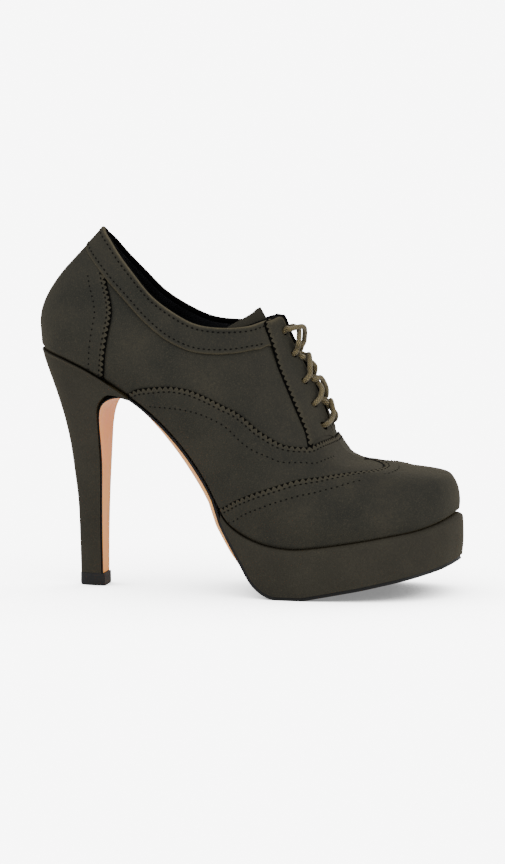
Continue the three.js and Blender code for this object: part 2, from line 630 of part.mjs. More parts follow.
// Heel, from the top lift to the seat: back and front of each ring and its half width, in the same
// shares as the breast.
const HEEL_RINGS = [
  { backX: -0.5343, backZ: 0.053, frontX: -0.4801, frontZ: 0.053, half: 0.166 },
  { backX: -0.5363, backZ: 0.192, frontX: -0.4811, frontZ: 0.192, half: 0.187 },
  { backX: -0.5398, backZ: 0.349, frontX: -0.4801, frontZ: 0.349, half: 0.216 },
  { backX: -0.5478, backZ: 0.471, frontX: -0.4786, frontZ: 0.454, half: 0.245 },
  { backX: -0.5572, backZ: 0.593, frontX: -0.4781, frontZ: 0.541, half: 0.289 },
  { backX: -0.5692, backZ: 0.695, frontX: -0.4781, frontZ: 0.611, half: 0.353 },
  { backX: -0.5836, backZ: 0.787, frontX: -0.4776, frontZ: 0.672, half: 0.426 },
  { backX: -0.5985, backZ: 0.871, frontX: -0.4761, frontZ: 0.724, half: 0.511 },
  { backX: -0.6095, backZ: 0.927, frontX: -0.4721, frontZ: 0.766, half: 0.568 },
  { backX: -0.6154, backZ: 0.958, frontX: -0.4587, frontZ: 0.801, half: 0.605 },
  { backX: -0.6189, backZ: 0.979, frontX: -0.4383, frontZ: 0.817, half: 0.626 },
];
const HEEL_POINTS = 10;
const HEEL_SQUARE = 0.55;
const LEVEL_RINGS = 7;           // above these, the rings arch up towards the seat
const RING_ARCH = 0.9;
const SEAT_END = 5.2;
const SEAT_OUT = 0.9;

function heelRing({ backX, backZ, frontX, frontZ, half }, arch = 0) {
  const sidePoints = side => steps(0, 1, HEEL_POINTS).map(q => {
    const share = Math.sin(q * Math.PI / 2);
    const width = half * BALL_HALF_WIDTH * Math.cos(q * Math.PI / 2) ** HEEL_SQUARE;
    const rise = arch * Math.sin(share * Math.PI);
    return new THREE.Vector3(UPPER_LENGTH * lerp(frontX, backX, share), side * (q === 1 ? 0 : width),
      SEAT_HEIGHT * lerp(frontZ, backZ, share) + rise);
  });
  return [...sidePoints(-1), ...sidePoints(1).reverse().slice(1)];
}

function heel() {
  const rings = HEEL_RINGS.map((ring, i) => heelRing(ring, Math.max(0, i - LEVEL_RINGS) * RING_ARCH));
  const seat = side => steps(SEAT_END, 0, HEEL_POINTS).map(row => {
    const edge = onLast(row, 0, side, SEAT_OUT);
    return new THREE.Vector3(edge.x, row === 0 ? 0 : edge.y, onLast(row, 0, side).z - GAP);
  });
  rings.push([...seat(-1), ...seat(1).reverse().slice(1)]);
  return new Surface().rings(rings).geometry();
}
add('heel', heel(), NUBUCK);

const LIFT_EASE = 1;             // height of the chamfer at the lift's foot
const LIFT_RINGS = [
  { backX: -0.5333, frontX: -0.4711, half: 0.166, up: 0 },
  { backX: -0.5353, frontX: -0.4706, half: 0.174, up: LIFT_EASE },
  { backX: -0.5353, frontX: -0.4711, half: 0.174, up: LIFT_HEIGHT },
].map(({ up, ...ring }) => ({ ...ring, backZ: up / SEAT_HEIGHT, frontZ: up / SEAT_HEIGHT }));
add('top_lift', new Surface().rings(LIFT_RINGS.map(ring => heelRing(ring))).geometry(), BLACK_RUBBER);

// Lace: four crossings over the gap, joined to one another above the eyelets.
const LACE_OFF = PANEL_GAP + PANEL_THICK + GAP + LACE_RADIUS + 0.8;  // middle of a strand at an eyelet
const LACE_BOW = 3.2;            // how far a strand stands out over the gap
const LACE_LIFT = 0.4;           // and how much more or less where it crosses the other
const LACE_SHARE = 0.99;         // where on the facing the bow's direction is taken
const LACE_STEPS = 6;
const LACE_SIDES = 8;

function strand(from, to, side, lift) {
  const start = onLast(from.row, from.share, side, LACE_OFF);
  const end = onLast(to.row, to.share, -side, LACE_OFF);
  const row = (from.row + to.row) / 2;
  const middle = start.clone().add(end).multiplyScalar(0.5);
  middle.addScaledVector(normal(row, LACE_SHARE, side).setY(0).normalize(), LACE_BOW + lift);
  const route = new THREE.CatmullRomCurve3([start, middle, end]);
  const section = new THREE.Shape();
  section.absarc(0, 0, LACE_RADIUS, 0, 2 * Math.PI);
  const path = { extrudePath: route, steps: LACE_STEPS, curveSegments: LACE_SIDES / 2 };
  const tube = new THREE.ExtrudeGeometry(section, path);
  return toSolid(tube);
}

function lace() {
  const strands = EYELETS.slice(1).flatMap((lower, i) => [
    strand(lower, EYELETS[i], -1, LACE_LIFT),
    strand(lower, EYELETS[i], 1, -LACE_LIFT),
  ]);
  return toGeometry(strands.reduce((all, one) => all.add(one)));
}
add('lace', lace(), LACE_CORD);

export default shoe;
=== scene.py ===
"""Dressed model of a high-heeled platform oxford pump, right foot, in the frame of its CAD model.

Lengths in the tables are millimetres; the meshes are made in metres.
"""

import logging
import math
from collections.abc import Callable, Sequence
from dataclasses import dataclass, field
from enum import Enum

import bmesh
import bpy
import numpy as np
from mathutils import Matrix, Vector, geometry


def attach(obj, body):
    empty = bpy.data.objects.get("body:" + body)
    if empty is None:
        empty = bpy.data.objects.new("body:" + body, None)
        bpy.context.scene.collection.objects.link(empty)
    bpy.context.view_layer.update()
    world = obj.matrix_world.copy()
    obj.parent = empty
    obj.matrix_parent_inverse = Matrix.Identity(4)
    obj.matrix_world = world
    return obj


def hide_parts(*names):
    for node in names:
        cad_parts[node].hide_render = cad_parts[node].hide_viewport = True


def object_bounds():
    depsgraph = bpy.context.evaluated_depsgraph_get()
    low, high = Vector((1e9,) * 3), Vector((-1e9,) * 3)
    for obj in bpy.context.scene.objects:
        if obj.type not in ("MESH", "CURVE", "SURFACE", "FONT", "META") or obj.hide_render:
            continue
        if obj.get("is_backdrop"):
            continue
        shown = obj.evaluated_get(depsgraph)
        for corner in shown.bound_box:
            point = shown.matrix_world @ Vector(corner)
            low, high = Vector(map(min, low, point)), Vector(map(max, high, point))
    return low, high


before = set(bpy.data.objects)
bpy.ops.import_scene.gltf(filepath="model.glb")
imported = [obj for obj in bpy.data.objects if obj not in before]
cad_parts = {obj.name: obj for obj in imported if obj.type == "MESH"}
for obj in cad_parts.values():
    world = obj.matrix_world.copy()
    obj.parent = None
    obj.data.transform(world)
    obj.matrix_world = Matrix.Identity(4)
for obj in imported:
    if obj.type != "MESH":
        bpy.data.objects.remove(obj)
log = logging.getLogger("oxford_pump")

MM = 0.001
OUTER, INNER = -1, 1
BOTH_SIDES = (OUTER, INNER)
Numbers = np.ndarray | float
HeightField = Callable[[np.ndarray, np.ndarray], np.ndarray]


# The last and the surface that every panel follows.

# One section of the last a line, from the back seam to the toe. Its foot's place and its crest's reach are
# shares of the last's length, rise and height, its widths are shares of the ball's half width, and shut is
# 1 where it closes over the ridge.
SECTION_COLUMNS = ("along", "rise", "lean", "crest", "outer", "inner", "side", "flank", "shoulder",
                   "edge", "shut")
SECTIONS = (
    (0.004, 0.996, 0.142, 1.00, 0, 0, 0, 0, 0, 0, 0),
    (0.014, 0.990, 0.138, 0.97, 0.26, 0.26, 0.30, 0.25, 0.15, 0.08, 0),
    (0.043, 0.973, 0.125, 0.93, 0.48, 0.47, 0.54, 0.45, 0.28, 0.16, 0),
    (0.088, 0.938, 0.105, 0.87, 0.60, 0.58, 0.67, 0.57, 0.38, 0.24, 0),
    (0.142, 0.883, 0.088, 0.81, 0.65, 0.62, 0.72, 0.64, 0.47, 0.33, 0),
    (0.202, 0.802, 0.073, 0.77, 0.64, 0.58, 0.73, 0.68, 0.54, 0.41, 0),
    (0.263, 0.710, 0.065, 0.79, 0.63, 0.54, 0.73, 0.71, 0.60, 0.48, 0),
    (0.319, 0.601, 0.067, 0.87, 0.63, 0.52, 0.74, 0.74, 0.65, 0.55, 0),
    (0.372, 0.472, 0.076, 1.05, 0.66, 0.54, 0.78, 0.79, 0.71, 0.60, 0),
    (0.420, 0.325, 0.090, 1.30, 0.72, 0.61, 0.84, 0.83, 0.73, 0.57, 0),
    (0.454, 0.195, 0.096, 1.55, 0.78, 0.70, 0.89, 0.85, 0.67, 0.34, 0.10),
    (0.483, 0.114, 0.09, 1.688, 0.84, 0.78, 0.94, 0.87, 0.61, 0.075, 0.25),
    (0.525, 0.054, 0.077, 1.588, 0.90, 0.88, 1.00, 0.89, 0.58, 0.075, 0.40),
    (0.578, 0.014, 0.061, 1.398, 0.95, 0.96, 1.04, 0.92, 0.57, 0.07, 0.50),
    (0.637, 0.00, 0.035, 1.186, 0.98, 1.01, 1.07, 0.94, 0.58, 0.065, 0.60),
    (0.690, 0.011, 0.012, 0.840, 0.99, 1.03, 1.08, 0.95, 0.59, 0, 1),
    (0.744, 0.029, -0.006, 0.680, 0.99, 1.03, 1.07, 0.96, 0.61, 0, 1),
    (0.802, 0.051, -0.010, 0.596, 0.98, 1.00, 1.05, 0.96, 0.63, 0, 1),
    (0.861, 0.076, -0.007, 0.521, 0.92, 0.93, 0.98, 0.91, 0.61, 0, 1),
    (0.911, 0.097, -0.007, 0.467, 0.82, 0.82, 0.88, 0.82, 0.56, 0, 1),
    (0.948, 0.121, -0.013, 0.411, 0.66, 0.65, 0.72, 0.67, 0.48, 0, 1),
    (0.974, 0.144, -0.021, 0.356, 0.44, 0.43, 0.48, 0.45, 0.33, 0, 1),
    (0.987, 0.159, -0.026, 0.314, 0, 0, 0, 0, 0, 0, 1),
)
LAST_ROW = len(SECTIONS) - 1
THROAT_ROW = 15
# How high the five points of a section lie: under an open collar, and where it closes over the ridge.
COLLAR_SHARES = np.array([0, 0.25, 0.5, 0.75, 1])
RIDGE_SHARES = np.array([0, 0.28, 0.62, 0.90, 1])
# How far the same points swell at the back seam and the toe, and over how many rows that fades.
BACK_BULGE = np.array([0, 0.113, 0.112, 0.068, 0])
TOE_BULGE = np.array([0, 0.115, 0.165, 0.10, 0])
BACK_ROWS = 6
TOE_ROWS = 5
NEAR = 1e-6
SLOPE_STEP = 0.02            # rows or shares between the points that a slope is taken from
SECTION_STEPS = 4            # stretches between the five points of a section
CHART_SHARE = 0.4            # the flat chart is true to length along this share

# How far the stiff counter and its padding swell the leather at the back of the heel, and how many rows
# from the back seam that has mostly faded.
COUNTER_PADDING = 1.8
PADDED_ROWS = 2.4

# Soft troughs where the leather has given a little: row and share of both ends, how wide and how
# deep each one is.
CREASE_COLUMNS = ("row_a", "share_a", "row_b", "share_b", "wide", "deep")
CREASES = (
    (15.6, 0.98, 15.2, 0.62, 4.5, 0.30),
    (16.6, 0.97, 16.0, 0.70, 5.0, 0.22),
    (12.2, 0.72, 13.6, 0.58, 6.0, 0.25),
    (7.2, 0.62, 10.6, 0.70, 8.0, 0.30),
    (5.2, 0.45, 7.4, 0.26, 7.0, 0.28),
    (9.2, 0.20, 11.6, 0.34, 7.0, 0.22),
    (2.2, 0.55, 3.4, 0.30, 6.0, 0.18),
)
CREASE_STAGGER = 0.15        # rows back on the outer side, and forward on the inner
CREASE_ENDS = 0.35           # how much of its depth a crease keeps at its ends
CREASE_LIPS = 1.1            # raises the leather a little on both sides of a crease


def lerp(a: Numbers, b: Numbers, f: Numbers) -> Numbers:
    """Returns the value a share f of the way from a to b."""
    return a + (b - a) * f


def ease(x: Numbers) -> np.ndarray:
    """Returns a smooth step of x, held between 0 and 1."""
    x = np.clip(x, 0, 1)
    return x * x * (3 - 2 * x)


def spline_weights(f: np.ndarray) -> np.ndarray:
    """Returns the four Catmull-Rom weights at f, on a new last axis."""
    f2, f3 = f * f, f * f * f
    return np.stack([(-f + 2 * f2 - f3) / 2, (2 - 5 * f2 + 3 * f3) / 2,
                     (f + 4 * f2 - 3 * f3) / 2, (f3 - f2) / 2], axis=-1)


def spline(points: np.ndarray, per_step: int) -> np.ndarray:
    """Runs a smooth curve through points.

    Args:
        points: the points, along the first axis.
        per_step: how many new points each stretch gets.

    Returns:
        The finer points, both ends included.
    """
    points = np.asarray(points, dtype=float)
    padded = np.concatenate([[2 * points[0] - points[1]], points, [2 * points[-1] - points[-2]]])
    stretches = [np.tensordot(spline_weights(np.arange(per_step) / per_step), padded[i:i + 4], 1)
                 for i in range(len(points) - 1)]
    return np.concatenate([*stretches, points[-1:]])


def unit(vectors: np.ndarray) -> np.ndarray:
    """Returns the vectors on the last axis at length 1."""
    return vectors / np.maximum(np.linalg.norm(vectors, axis=-1, keepdims=True), 1e-12)


@dataclass
class Last:
    """The shape of the foot: outer face of the upper by row, from back to toe, and share of height."""

    length: float = 201.0
    ball_along: float = 0.622
    ball_half_width: float = 38.0
    platform_height: float = 23.6
    seat_rise: float = 91.0
    back_height: float = 57.0
    toe_swing: float = 4.0
    control: dict[int, np.ndarray] = field(init=False)
    chart_rows: np.ndarray = field(init=False)
    chart_x: np.ndarray = field(init=False)
    chart_height: np.ndarray = field(init=False)

    def __post_init__(self) -> None:
        """Fills the control points and the flat chart of the surface."""
        self.control = {side: self._control(side) for side in BOTH_SIDES}
        self.chart_rows = np.linspace(0, LAST_ROW, LAST_ROW * 20 + 1)
        waist = self.place(self.chart_rows, CHART_SHARE, OUTER)
        steps = np.linalg.norm(np.diff(waist, axis=0), axis=1)
        self.chart_x = np.concatenate([[0], np.cumsum(steps)])
        shares = np.linspace(0, 1, 21)
        ribs = self.place(self.chart_rows[:, None], shares[None, :], OUTER)
        self.chart_height = np.linalg.norm(np.diff(ribs, axis=1), axis=2).sum(axis=1)

    def _section(self, row: int, side: int) -> np.ndarray:
        """Places one section of the last.

        Args:
            row: number of the section.
            side: OUTER or INNER.

        Returns:
            Its five points from the feather edge up, with a guide point beyond each end.
        """
        s = dict(zip(SECTION_COLUMNS, SECTIONS[row]))
        foot_x = (s["along"] - self.ball_along) * self.length
        foot_z = self.platform_height + s["rise"] * self.seat_rise
        reach_x, reach_z = s["lean"] * self.length, s["crest"] * self.back_height
        mean = (s["outer"] + s["inner"]) / 2
        seam = s["outer"] if side == OUTER else s["inner"]
        widths = np.array([mean, s["side"], s["flank"], s["shoulder"], s["edge"]])
        back = max(0, 1 - row / BACK_ROWS) ** 2
        toe = max(0, 1 - (LAST_ROW - row) / TOE_ROWS) ** 2
        height = lerp(COLLAR_SHARES, RIDGE_SHARES, s["shut"])
        bulge = TOE_BULGE * toe - BACK_BULGE * back
        width = widths + (seam - mean) * (1 - COLLAR_SHARES)
        points = np.stack([foot_x + reach_x * height + reach_z * bulge,
                           side * width * self.ball_half_width,
                           foot_z + reach_z * height - reach_x * bulge], axis=1)
        under, top = points[-2], points[-1]
        turn = lerp(1, -1, s["shut"])
        above = top + (top - under) * np.array([turn, -1, turn])
        return np.vstack([2 * points[0] - points[1], points, above])

    def _control(self, side: int) -> np.ndarray:
        """Returns every section of a side, with one mirrored past the back seam and past the toe."""
        rows = [self._section(row, side) for row in range(LAST_ROW + 1)]
        return np.stack([rows[1] * [1, -1, 1], *rows, rows[-2] * [1, -1, 1]])

    def on_seam(self, row: np.ndarray, share: np.ndarray) -> np.ndarray:
        """Says which points the two sides share: at the back seam, the toe and the vamp's ridge."""
        ridge = (share > 1 - NEAR) & (share < 1 + NEAR) & (row > THROAT_ROW - NEAR)
        return (row < NEAR) | (row > LAST_ROW - NEAR) | ridge

    def _bare(self, row: np.ndarray, share: np.ndarray, side: int) -> np.ndarray:
        """Finds points of the outer face before the toe is swung in.

        Args:
            row: section rows.
            share: shares of the section.
            side: OUTER or INNER.

        Returns:
            The points in millimetres, on a new last axis.
        """
        row, share = np.broadcast_arrays(np.asarray(row, float), np.asarray(share, float))
        i = np.clip(np.floor(row), 0, LAST_ROW - 1).astype(int)
        k = np.clip(np.floor(share * SECTION_STEPS), 0, SECTION_STEPS - 1).astype(int)
        four = np.arange(4)
        patch = self.control[side][(i[..., None] + four)[..., :, None],
                                   (k[..., None] + four)[..., None, :]]
        points = np.einsum("...i,...j,...ijk->...k", spline_weights(row - i),
                           spline_weights(share * SECTION_STEPS - k), patch)
        points[..., 1] = np.where(self.on_seam(row, share), 0, points[..., 1])
        points[..., 1] = side * np.maximum(0, side * points[..., 1])
        return points

    def _side_normal(self, row: np.ndarray, share: np.ndarray, side: int) -> np.ndarray:
        """Returns normal's directions from one side alone, without the care at its edges."""
        step = SLOPE_STEP
        r, s = np.clip(row, step, LAST_ROW - step), np.clip(share, step, 1 - step)
        ahead = self._bare(r + step, s, side) - self._bare(r - step, s, side)
        up = self._bare(r, s + step, side) - self._bare(r, s - step, side)
        return unit(np.cross(ahead, up) * -side)

    def normal(self, row: Numbers, share: Numbers, side: int) -> np.ndarray:
        """Finds the outward normal, level at the feather edge and the same for both sides on a seam.

        Args:
            row: section rows.
            share: shares of the section.
            side: OUTER or INNER.

        Returns:
            The normals at length 1.
        """
        row, share = np.broadcast_arrays(np.asarray(row, float), np.asarray(share, float))
        n = self._side_normal(row, share, side)
        seam = self.on_seam(row, share)
        shared = n + self._side_normal(row, share, -side)
        shared[..., 1] = 0
        n = np.where(seam[..., None], shared, n)
        closing = np.clip(row - THROAT_ROW + 1, 0, 1) * (row < THROAT_ROW)
        margin = 0.1
        n[..., 1] *= 1 - closing * np.maximum(0, 1 - (1 - share) / margin)
        n[..., 2] *= np.clip(share / margin, 0, 1)
        return unit(n)

    def relief(self, row: np.ndarray, share: np.ndarray, side: int) -> np.ndarray:
        """Works out how far the soft creases and the padded counter move the leather.

        Args:
            row: section rows.
            share: shares of the section.
            side: OUTER or INNER.

        Returns:
            The distances outwards in millimetres.
        """
        x, y = self.to_chart(row, share)
        total = np.zeros_like(x)
        for values in CREASES:
            c = dict(zip(CREASE_COLUMNS, values))
            ax, ay = self.to_chart(c["row_a"] + CREASE_STAGGER * side, c["share_a"])
            bx, by = self.to_chart(c["row_b"] + CREASE_STAGGER * side, c["share_b"])
            span = (bx - ax) ** 2 + (by - ay) ** 2
            f = np.clip(((x - ax) * (bx - ax) + (y - ay) * (by - ay)) / span, 0, 1)
            far = np.hypot(x - ax - f * (bx - ax), y - ay - f * (by - ay)) / c["wide"]
            depth = c["deep"] * lerp(CREASE_ENDS, 1, np.sin(np.pi * f))
            total -= depth * (1 - CREASE_LIPS * far ** 2) * np.exp(-far ** 2)
        # The creases fade out towards the sole and the topline, and the padding towards the collar band.
        total *= ease(share / 0.16) * ease((1.02 - share) / 0.12)
        padding = lerp(0.45, 1, ease(share / 0.2)) * ease((0.85 - share) / 0.45)
        return total + COUNTER_PADDING * np.exp(-(row / PADDED_ROWS) ** 2) * padding

    def place(self, row: Numbers, share: Numbers, side: int, off: Numbers = 0.0) -> np.ndarray:
        """Finds points at a height off the outer face.

        Args:
            row: section rows, 0 at the back seam and 22 at the toe.
            share: shares of the section, 0 at the feather edge.
            side: OUTER or INNER.
            off: distance outwards from the bare last, in millimetres.

        Returns:
            The points in millimetres, on a new last axis.
        """
        points = self._bare(row, share, side)
        points = points + self.normal(row, share, side) * np.asarray(off, float)[..., None]
        forward = np.maximum(0, points[..., 0]) / (self.length * (1 - self.ball_along))
        points[..., 1] += self.toe_swing * forward ** 2
        return points

    def both(self, row: Numbers, share: Numbers, off: Numbers = 0.0) -> list[np.ndarray]:
        """Returns place's points on the outer side and on the inner side."""
        return [self.place(row, share, side, off) for side in BOTH_SIDES]

    def to_chart(self, row: Numbers, share: Numbers) -> tuple[np.ndarray, np.ndarray]:
        """Lays row and share out flat, in millimetres nearly true to length."""
        x = np.interp(row, self.chart_rows, self.chart_x)
        return x, share * np.interp(row, self.chart_rows, self.chart_height)

    def chart_path(self, path: np.ndarray) -> np.ndarray:
        """Lays a path of (row, share) out flat."""
        return np.stack(self.to_chart(*path.T), axis=1)

    def from_chart(self, x: np.ndarray, y: np.ndarray) -> tuple[np.ndarray, np.ndarray]:
        """Turns flat millimetres back into row and share."""
        row = np.interp(x, self.chart_x, self.chart_rows)
        return row, y / np.interp(row, self.chart_rows, self.chart_height)

    def resample(self, path: np.ndarray, pitch: float) -> np.ndarray:
        """Spaces a path of (row, share) evenly.

        Args:
            path: the points, one a line.
            pitch: wanted distance between points in millimetres.

        Returns:
            The new points, with both ends kept.
        """
        lengths = np.linalg.norm(np.diff(self.place(path[:, 0], path[:, 1], OUTER), axis=0), axis=1)
        total = np.concatenate([[0], np.cumsum(lengths)])
        count = max(2, round(total[-1] / pitch))
        at = np.linspace(0, total[-1], count + 1)
        return np.stack([np.interp(at, total, path[:, 0]), np.interp(at, total, path[:, 1])], axis=1)

    def curve(self, table: Sequence[tuple[float, float]], pitch: float = 1.0) -> np.ndarray:
        """Returns an evenly spaced smooth path through a table of (row, share)."""
        return self.resample(spline(np.array(table, float), 12), pitch)

    def shift(self, path: np.ndarray, distance: Numbers) -> np.ndarray:
        """Moves a path sideways on the surface.

        Args:
            path: points of (row, share) at even spacing.
            distance: millimetres to the left of travel, seen from outside the outer side.

        Returns:
            The moved path.
        """
        row, share = path[:, 0], path[:, 1]
        step = SLOPE_STEP
        tangent = unit(np.gradient(self.place(row, share, OUTER), axis=0))
        r, s = np.clip(row, step, LAST_ROW - step), np.clip(share, step, 1 - step)
        by_row = (self.place(r + step, s, OUTER) - self.place(r - step, s, OUTER)) / (2 * step)
        by_share = (self.place(r, s + step, OUTER) - self.place(r, s - step, OUTER)) / (2 * step)
        aside = unit(np.cross(unit(np.cross(by_row, by_share)), tangent))
        grid = np.stack([by_row, by_share], axis=-1)
        move = np.einsum("nij,nj->ni", np.linalg.pinv(grid), aside)
        return path + move * np.broadcast_to(distance, row.shape)[:, None]

    def inset(self, path: np.ndarray, distance: float) -> np.ndarray:
        """Runs a line at an even distance beside a path.

        Args:
            path: points of (row, share) at even spacing.
            distance: millimetres to the left of travel, seen from outside the outer side.

        Returns:
            The line on the last, without the loops that tight bends would give.
        """
        moved = self.shift(path, distance)
        line, beside = (self.place(*points.T, OUTER) for points in (path, moved))
        row, share = moved.T
        on_last = (share > 0.01) & (share < 0.995) & (row > 0.02)
        return moved[(nearest(beside, line) > 0.93 * abs(distance)) & on_last]


# Small tools for meshes and nodes.

SHARP_ANGLE = 38.0


def bridge(left: np.ndarray, right: np.ndarray, shares: Sequence[float]) -> np.ndarray:
    """Returns a row of points from each left point to its right one, at these shares of the way."""
    return left[:, None] + (right - left)[:, None] * np.reshape(shares, (-1, 1))


def linear(colour: str) -> tuple[float, float, float, float]:
    """Turns an sRGB hex colour into a linear one.

    Args:
        colour: a hash sign and six hex digits.

    Returns:
        Red, green, blue and an alpha of 1.
    """
    values = [int(colour[i:i + 2], 16) / 255 for i in (1, 3, 5)]
    rgb = [v / 12.92 if v <= 0.04045 else ((v + 0.055) / 1.055) ** 2.4 for v in values]
    return (*rgb, 1.0)


def add_node(tree: bpy.types.NodeTree, kind: str, inputs: dict | None = None,
             **settings: object) -> bpy.types.Node:
    """Adds one node.

    Args:
        tree: the tree that takes it.
        kind: the node's type name.
        inputs: a value, or an output socket to link, by input name or number.
        settings: attributes of the node.

    Returns:
        The new node.
    """
    node = tree.nodes.new(kind)
    for name, value in settings.items():
        setattr(node, name, value)
    for key, value in (inputs or {}).items():
        if isinstance(value, bpy.types.NodeSocket):
            tree.links.new(value, node.inputs[key])
        else:
            node.inputs[key].default_value = value
    return node


def add_object(name: str, data: bpy.types.ID) -> bpy.types.Object:
    """Puts a mesh, a camera or a light in the scene."""
    thing = bpy.data.objects.new(name, data)
    bpy.context.scene.collection.objects.link(thing)
    return thing


def close_up(mesh: bpy.types.Mesh, merge: bool = True) -> None:
    """Turns a mesh's faces outwards and shades them smooth.

    Args:
        mesh: the closed mesh.
        merge: True where points that lie on each other are made one first.
    """
    work = bmesh.new()
    work.from_mesh(mesh)
    if merge:
        bmesh.ops.remove_doubles(work, verts=work.verts, dist=1e-5)
        bmesh.ops.dissolve_degenerate(work, dist=1e-7, edges=work.edges)
    bmesh.ops.recalc_face_normals(work, faces=work.faces)
    work.to_mesh(mesh)
    work.free()
    mesh.shade_smooth()


def make_mesh(name: str, vertices: np.ndarray, faces: Sequence[Sequence[int]], sharp: float = SHARP_ANGLE,
              marks: Sequence[int] | None = None, wear_and_painted_light: np.ndarray | None = None) -> bpy.types.Object:
    """Makes a closed piece from points and faces.

    Args:
        name: the piece's name.
        vertices: points in millimetres.
        faces: indices of each face's corners.
        sharp: angle in degrees above which an edge stays sharp.
        marks: material slot of each face.
        wear_and_painted_light: of each point, from -1, painted shade in creases, to 1, a pale edge, partly
            rubbed and partly painted highlight.

    Returns:
        The new object, linked to the scene.
    """
    mesh = bpy.data.meshes.new(name)
    mesh.from_pydata((np.asarray(vertices) * MM).tolist(), [], [list(f) for f in faces])
    if marks is not None:
        mesh.polygons.foreach_set("material_index", list(marks))
    layer = mesh.attributes.new("wear_and_painted_light", "FLOAT", "POINT")
    layer.data.foreach_set("value", np.zeros(len(vertices)) if wear_and_painted_light is None else wear_and_painted_light)
    close_up(mesh)
    mesh.set_sharp_from_angle(angle=math.radians(sharp))
    return add_object(name, mesh)


def grid_faces(rows: int, columns: int, start: int = 0, loop: bool = False) -> list[tuple[int, ...]]:
    """Lists the quads of a grid of points.

    Args:
        rows: number of rows.
        columns: points in each row.
        start: index of the first point.
        loop: True where the last column joins the first.

    Returns:
        The indices of each quad's corners.
    """
    faces = []
    for i in range(rows - 1):
        for j in range(columns if loop else columns - 1):
            k = (j + 1) % columns
            a, b = start + i * columns, start + (i + 1) * columns
            faces.append((a + j, b + j, b + k, a + k))
    return faces


def plate_mesh(name: str, low: np.ndarray, high: np.ndarray) -> bpy.types.Object:
    """Makes a closed plate between two grids of points.

    Args:
        name: the piece's name.
        low: the face that looks out, rows by columns of points; it gets material slot 0.
        high: the face behind it; it and the walls get slot 1.

    Returns:
        The new object.
    """
    rows, columns = low.shape[:2]
    count = rows * columns
    front = grid_faces(rows, columns)
    back = [tuple(reversed(f)) for f in grid_faces(rows, columns, count)]
    border = [*range(columns)] + [i * columns + columns - 1 for i in range(1, rows)]
    border += [(rows - 1) * columns + j for j in range(columns - 2, -1, -1)]
    border += [i * columns for i in range(rows - 2, 0, -1)]
    walls = [(a, b, b + count, a + count) for a, b in zip(border, border[1:] + border[:1])]
    marks = [0] * len(front) + [1] * (len(back) + len(walls))
    points = np.concatenate([low.reshape(-1, 3), high.reshape(-1, 3)])
    return make_mesh(name, points, front + back + walls, marks=marks)


def ring_mesh(name: str, rings: np.ndarray, sharp: float,
              wear_and_painted_light: np.ndarray | None = None) -> bpy.types.Object:
    """Makes a closed piece through rings of points, with a flat cap at each end.

    Args:
        name: the piece's name.
        rings: the rings, each with the same number of points.
        sharp: angle in degrees above which an edge stays sharp.
        wear_and_painted_light: of each point, from -1, painted shade, to 1, a pale edge that is partly wear
            and partly painted highlight.

    Returns:
        The new object.
    """
    levels, count = rings.shape[:2]
    faces = grid_faces(levels, count, loop=True)
    faces.append(tuple(range(count)))
    faces.append(tuple(range(levels * count - 1, (levels - 1) * count - 1, -1)))
    return make_mesh(name, rings.reshape(-1, 3), faces, sharp, wear_and_painted_light=wear_and_painted_light)


def round_edges(piece: bpy.types.Object, width: float) -> None:
    """Rounds a piece's sharp edges by so many millimetres."""
    bevel = piece.modifiers.new("edge", "BEVEL")
    bevel.width = width * MM
    bevel.segments = 2
    bevel.limit_method = "ANGLE"
    bevel.angle_limit = math.radians(60)


def dress(piece: bpy.types.Object, materials: Sequence[bpy.types.Material],
          replaces: Sequence[str] = ()) -> None:
    """Gives a piece its materials and its body, and hides the CAD nodes that it stands for.

    Args:
        piece: the finished piece.
        materials: one for each material slot; a piece that already has its own keeps them.
        replaces: names of the CAD nodes.
    """
    if not piece.data.materials:
        for material in materials:
            piece.data.materials.append(material)
    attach(piece, "root")
    if replaces:
        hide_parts(*replaces)
    log.info("%s: %d faces", piece.name, len(piece.data.polygons))


# Finishes.

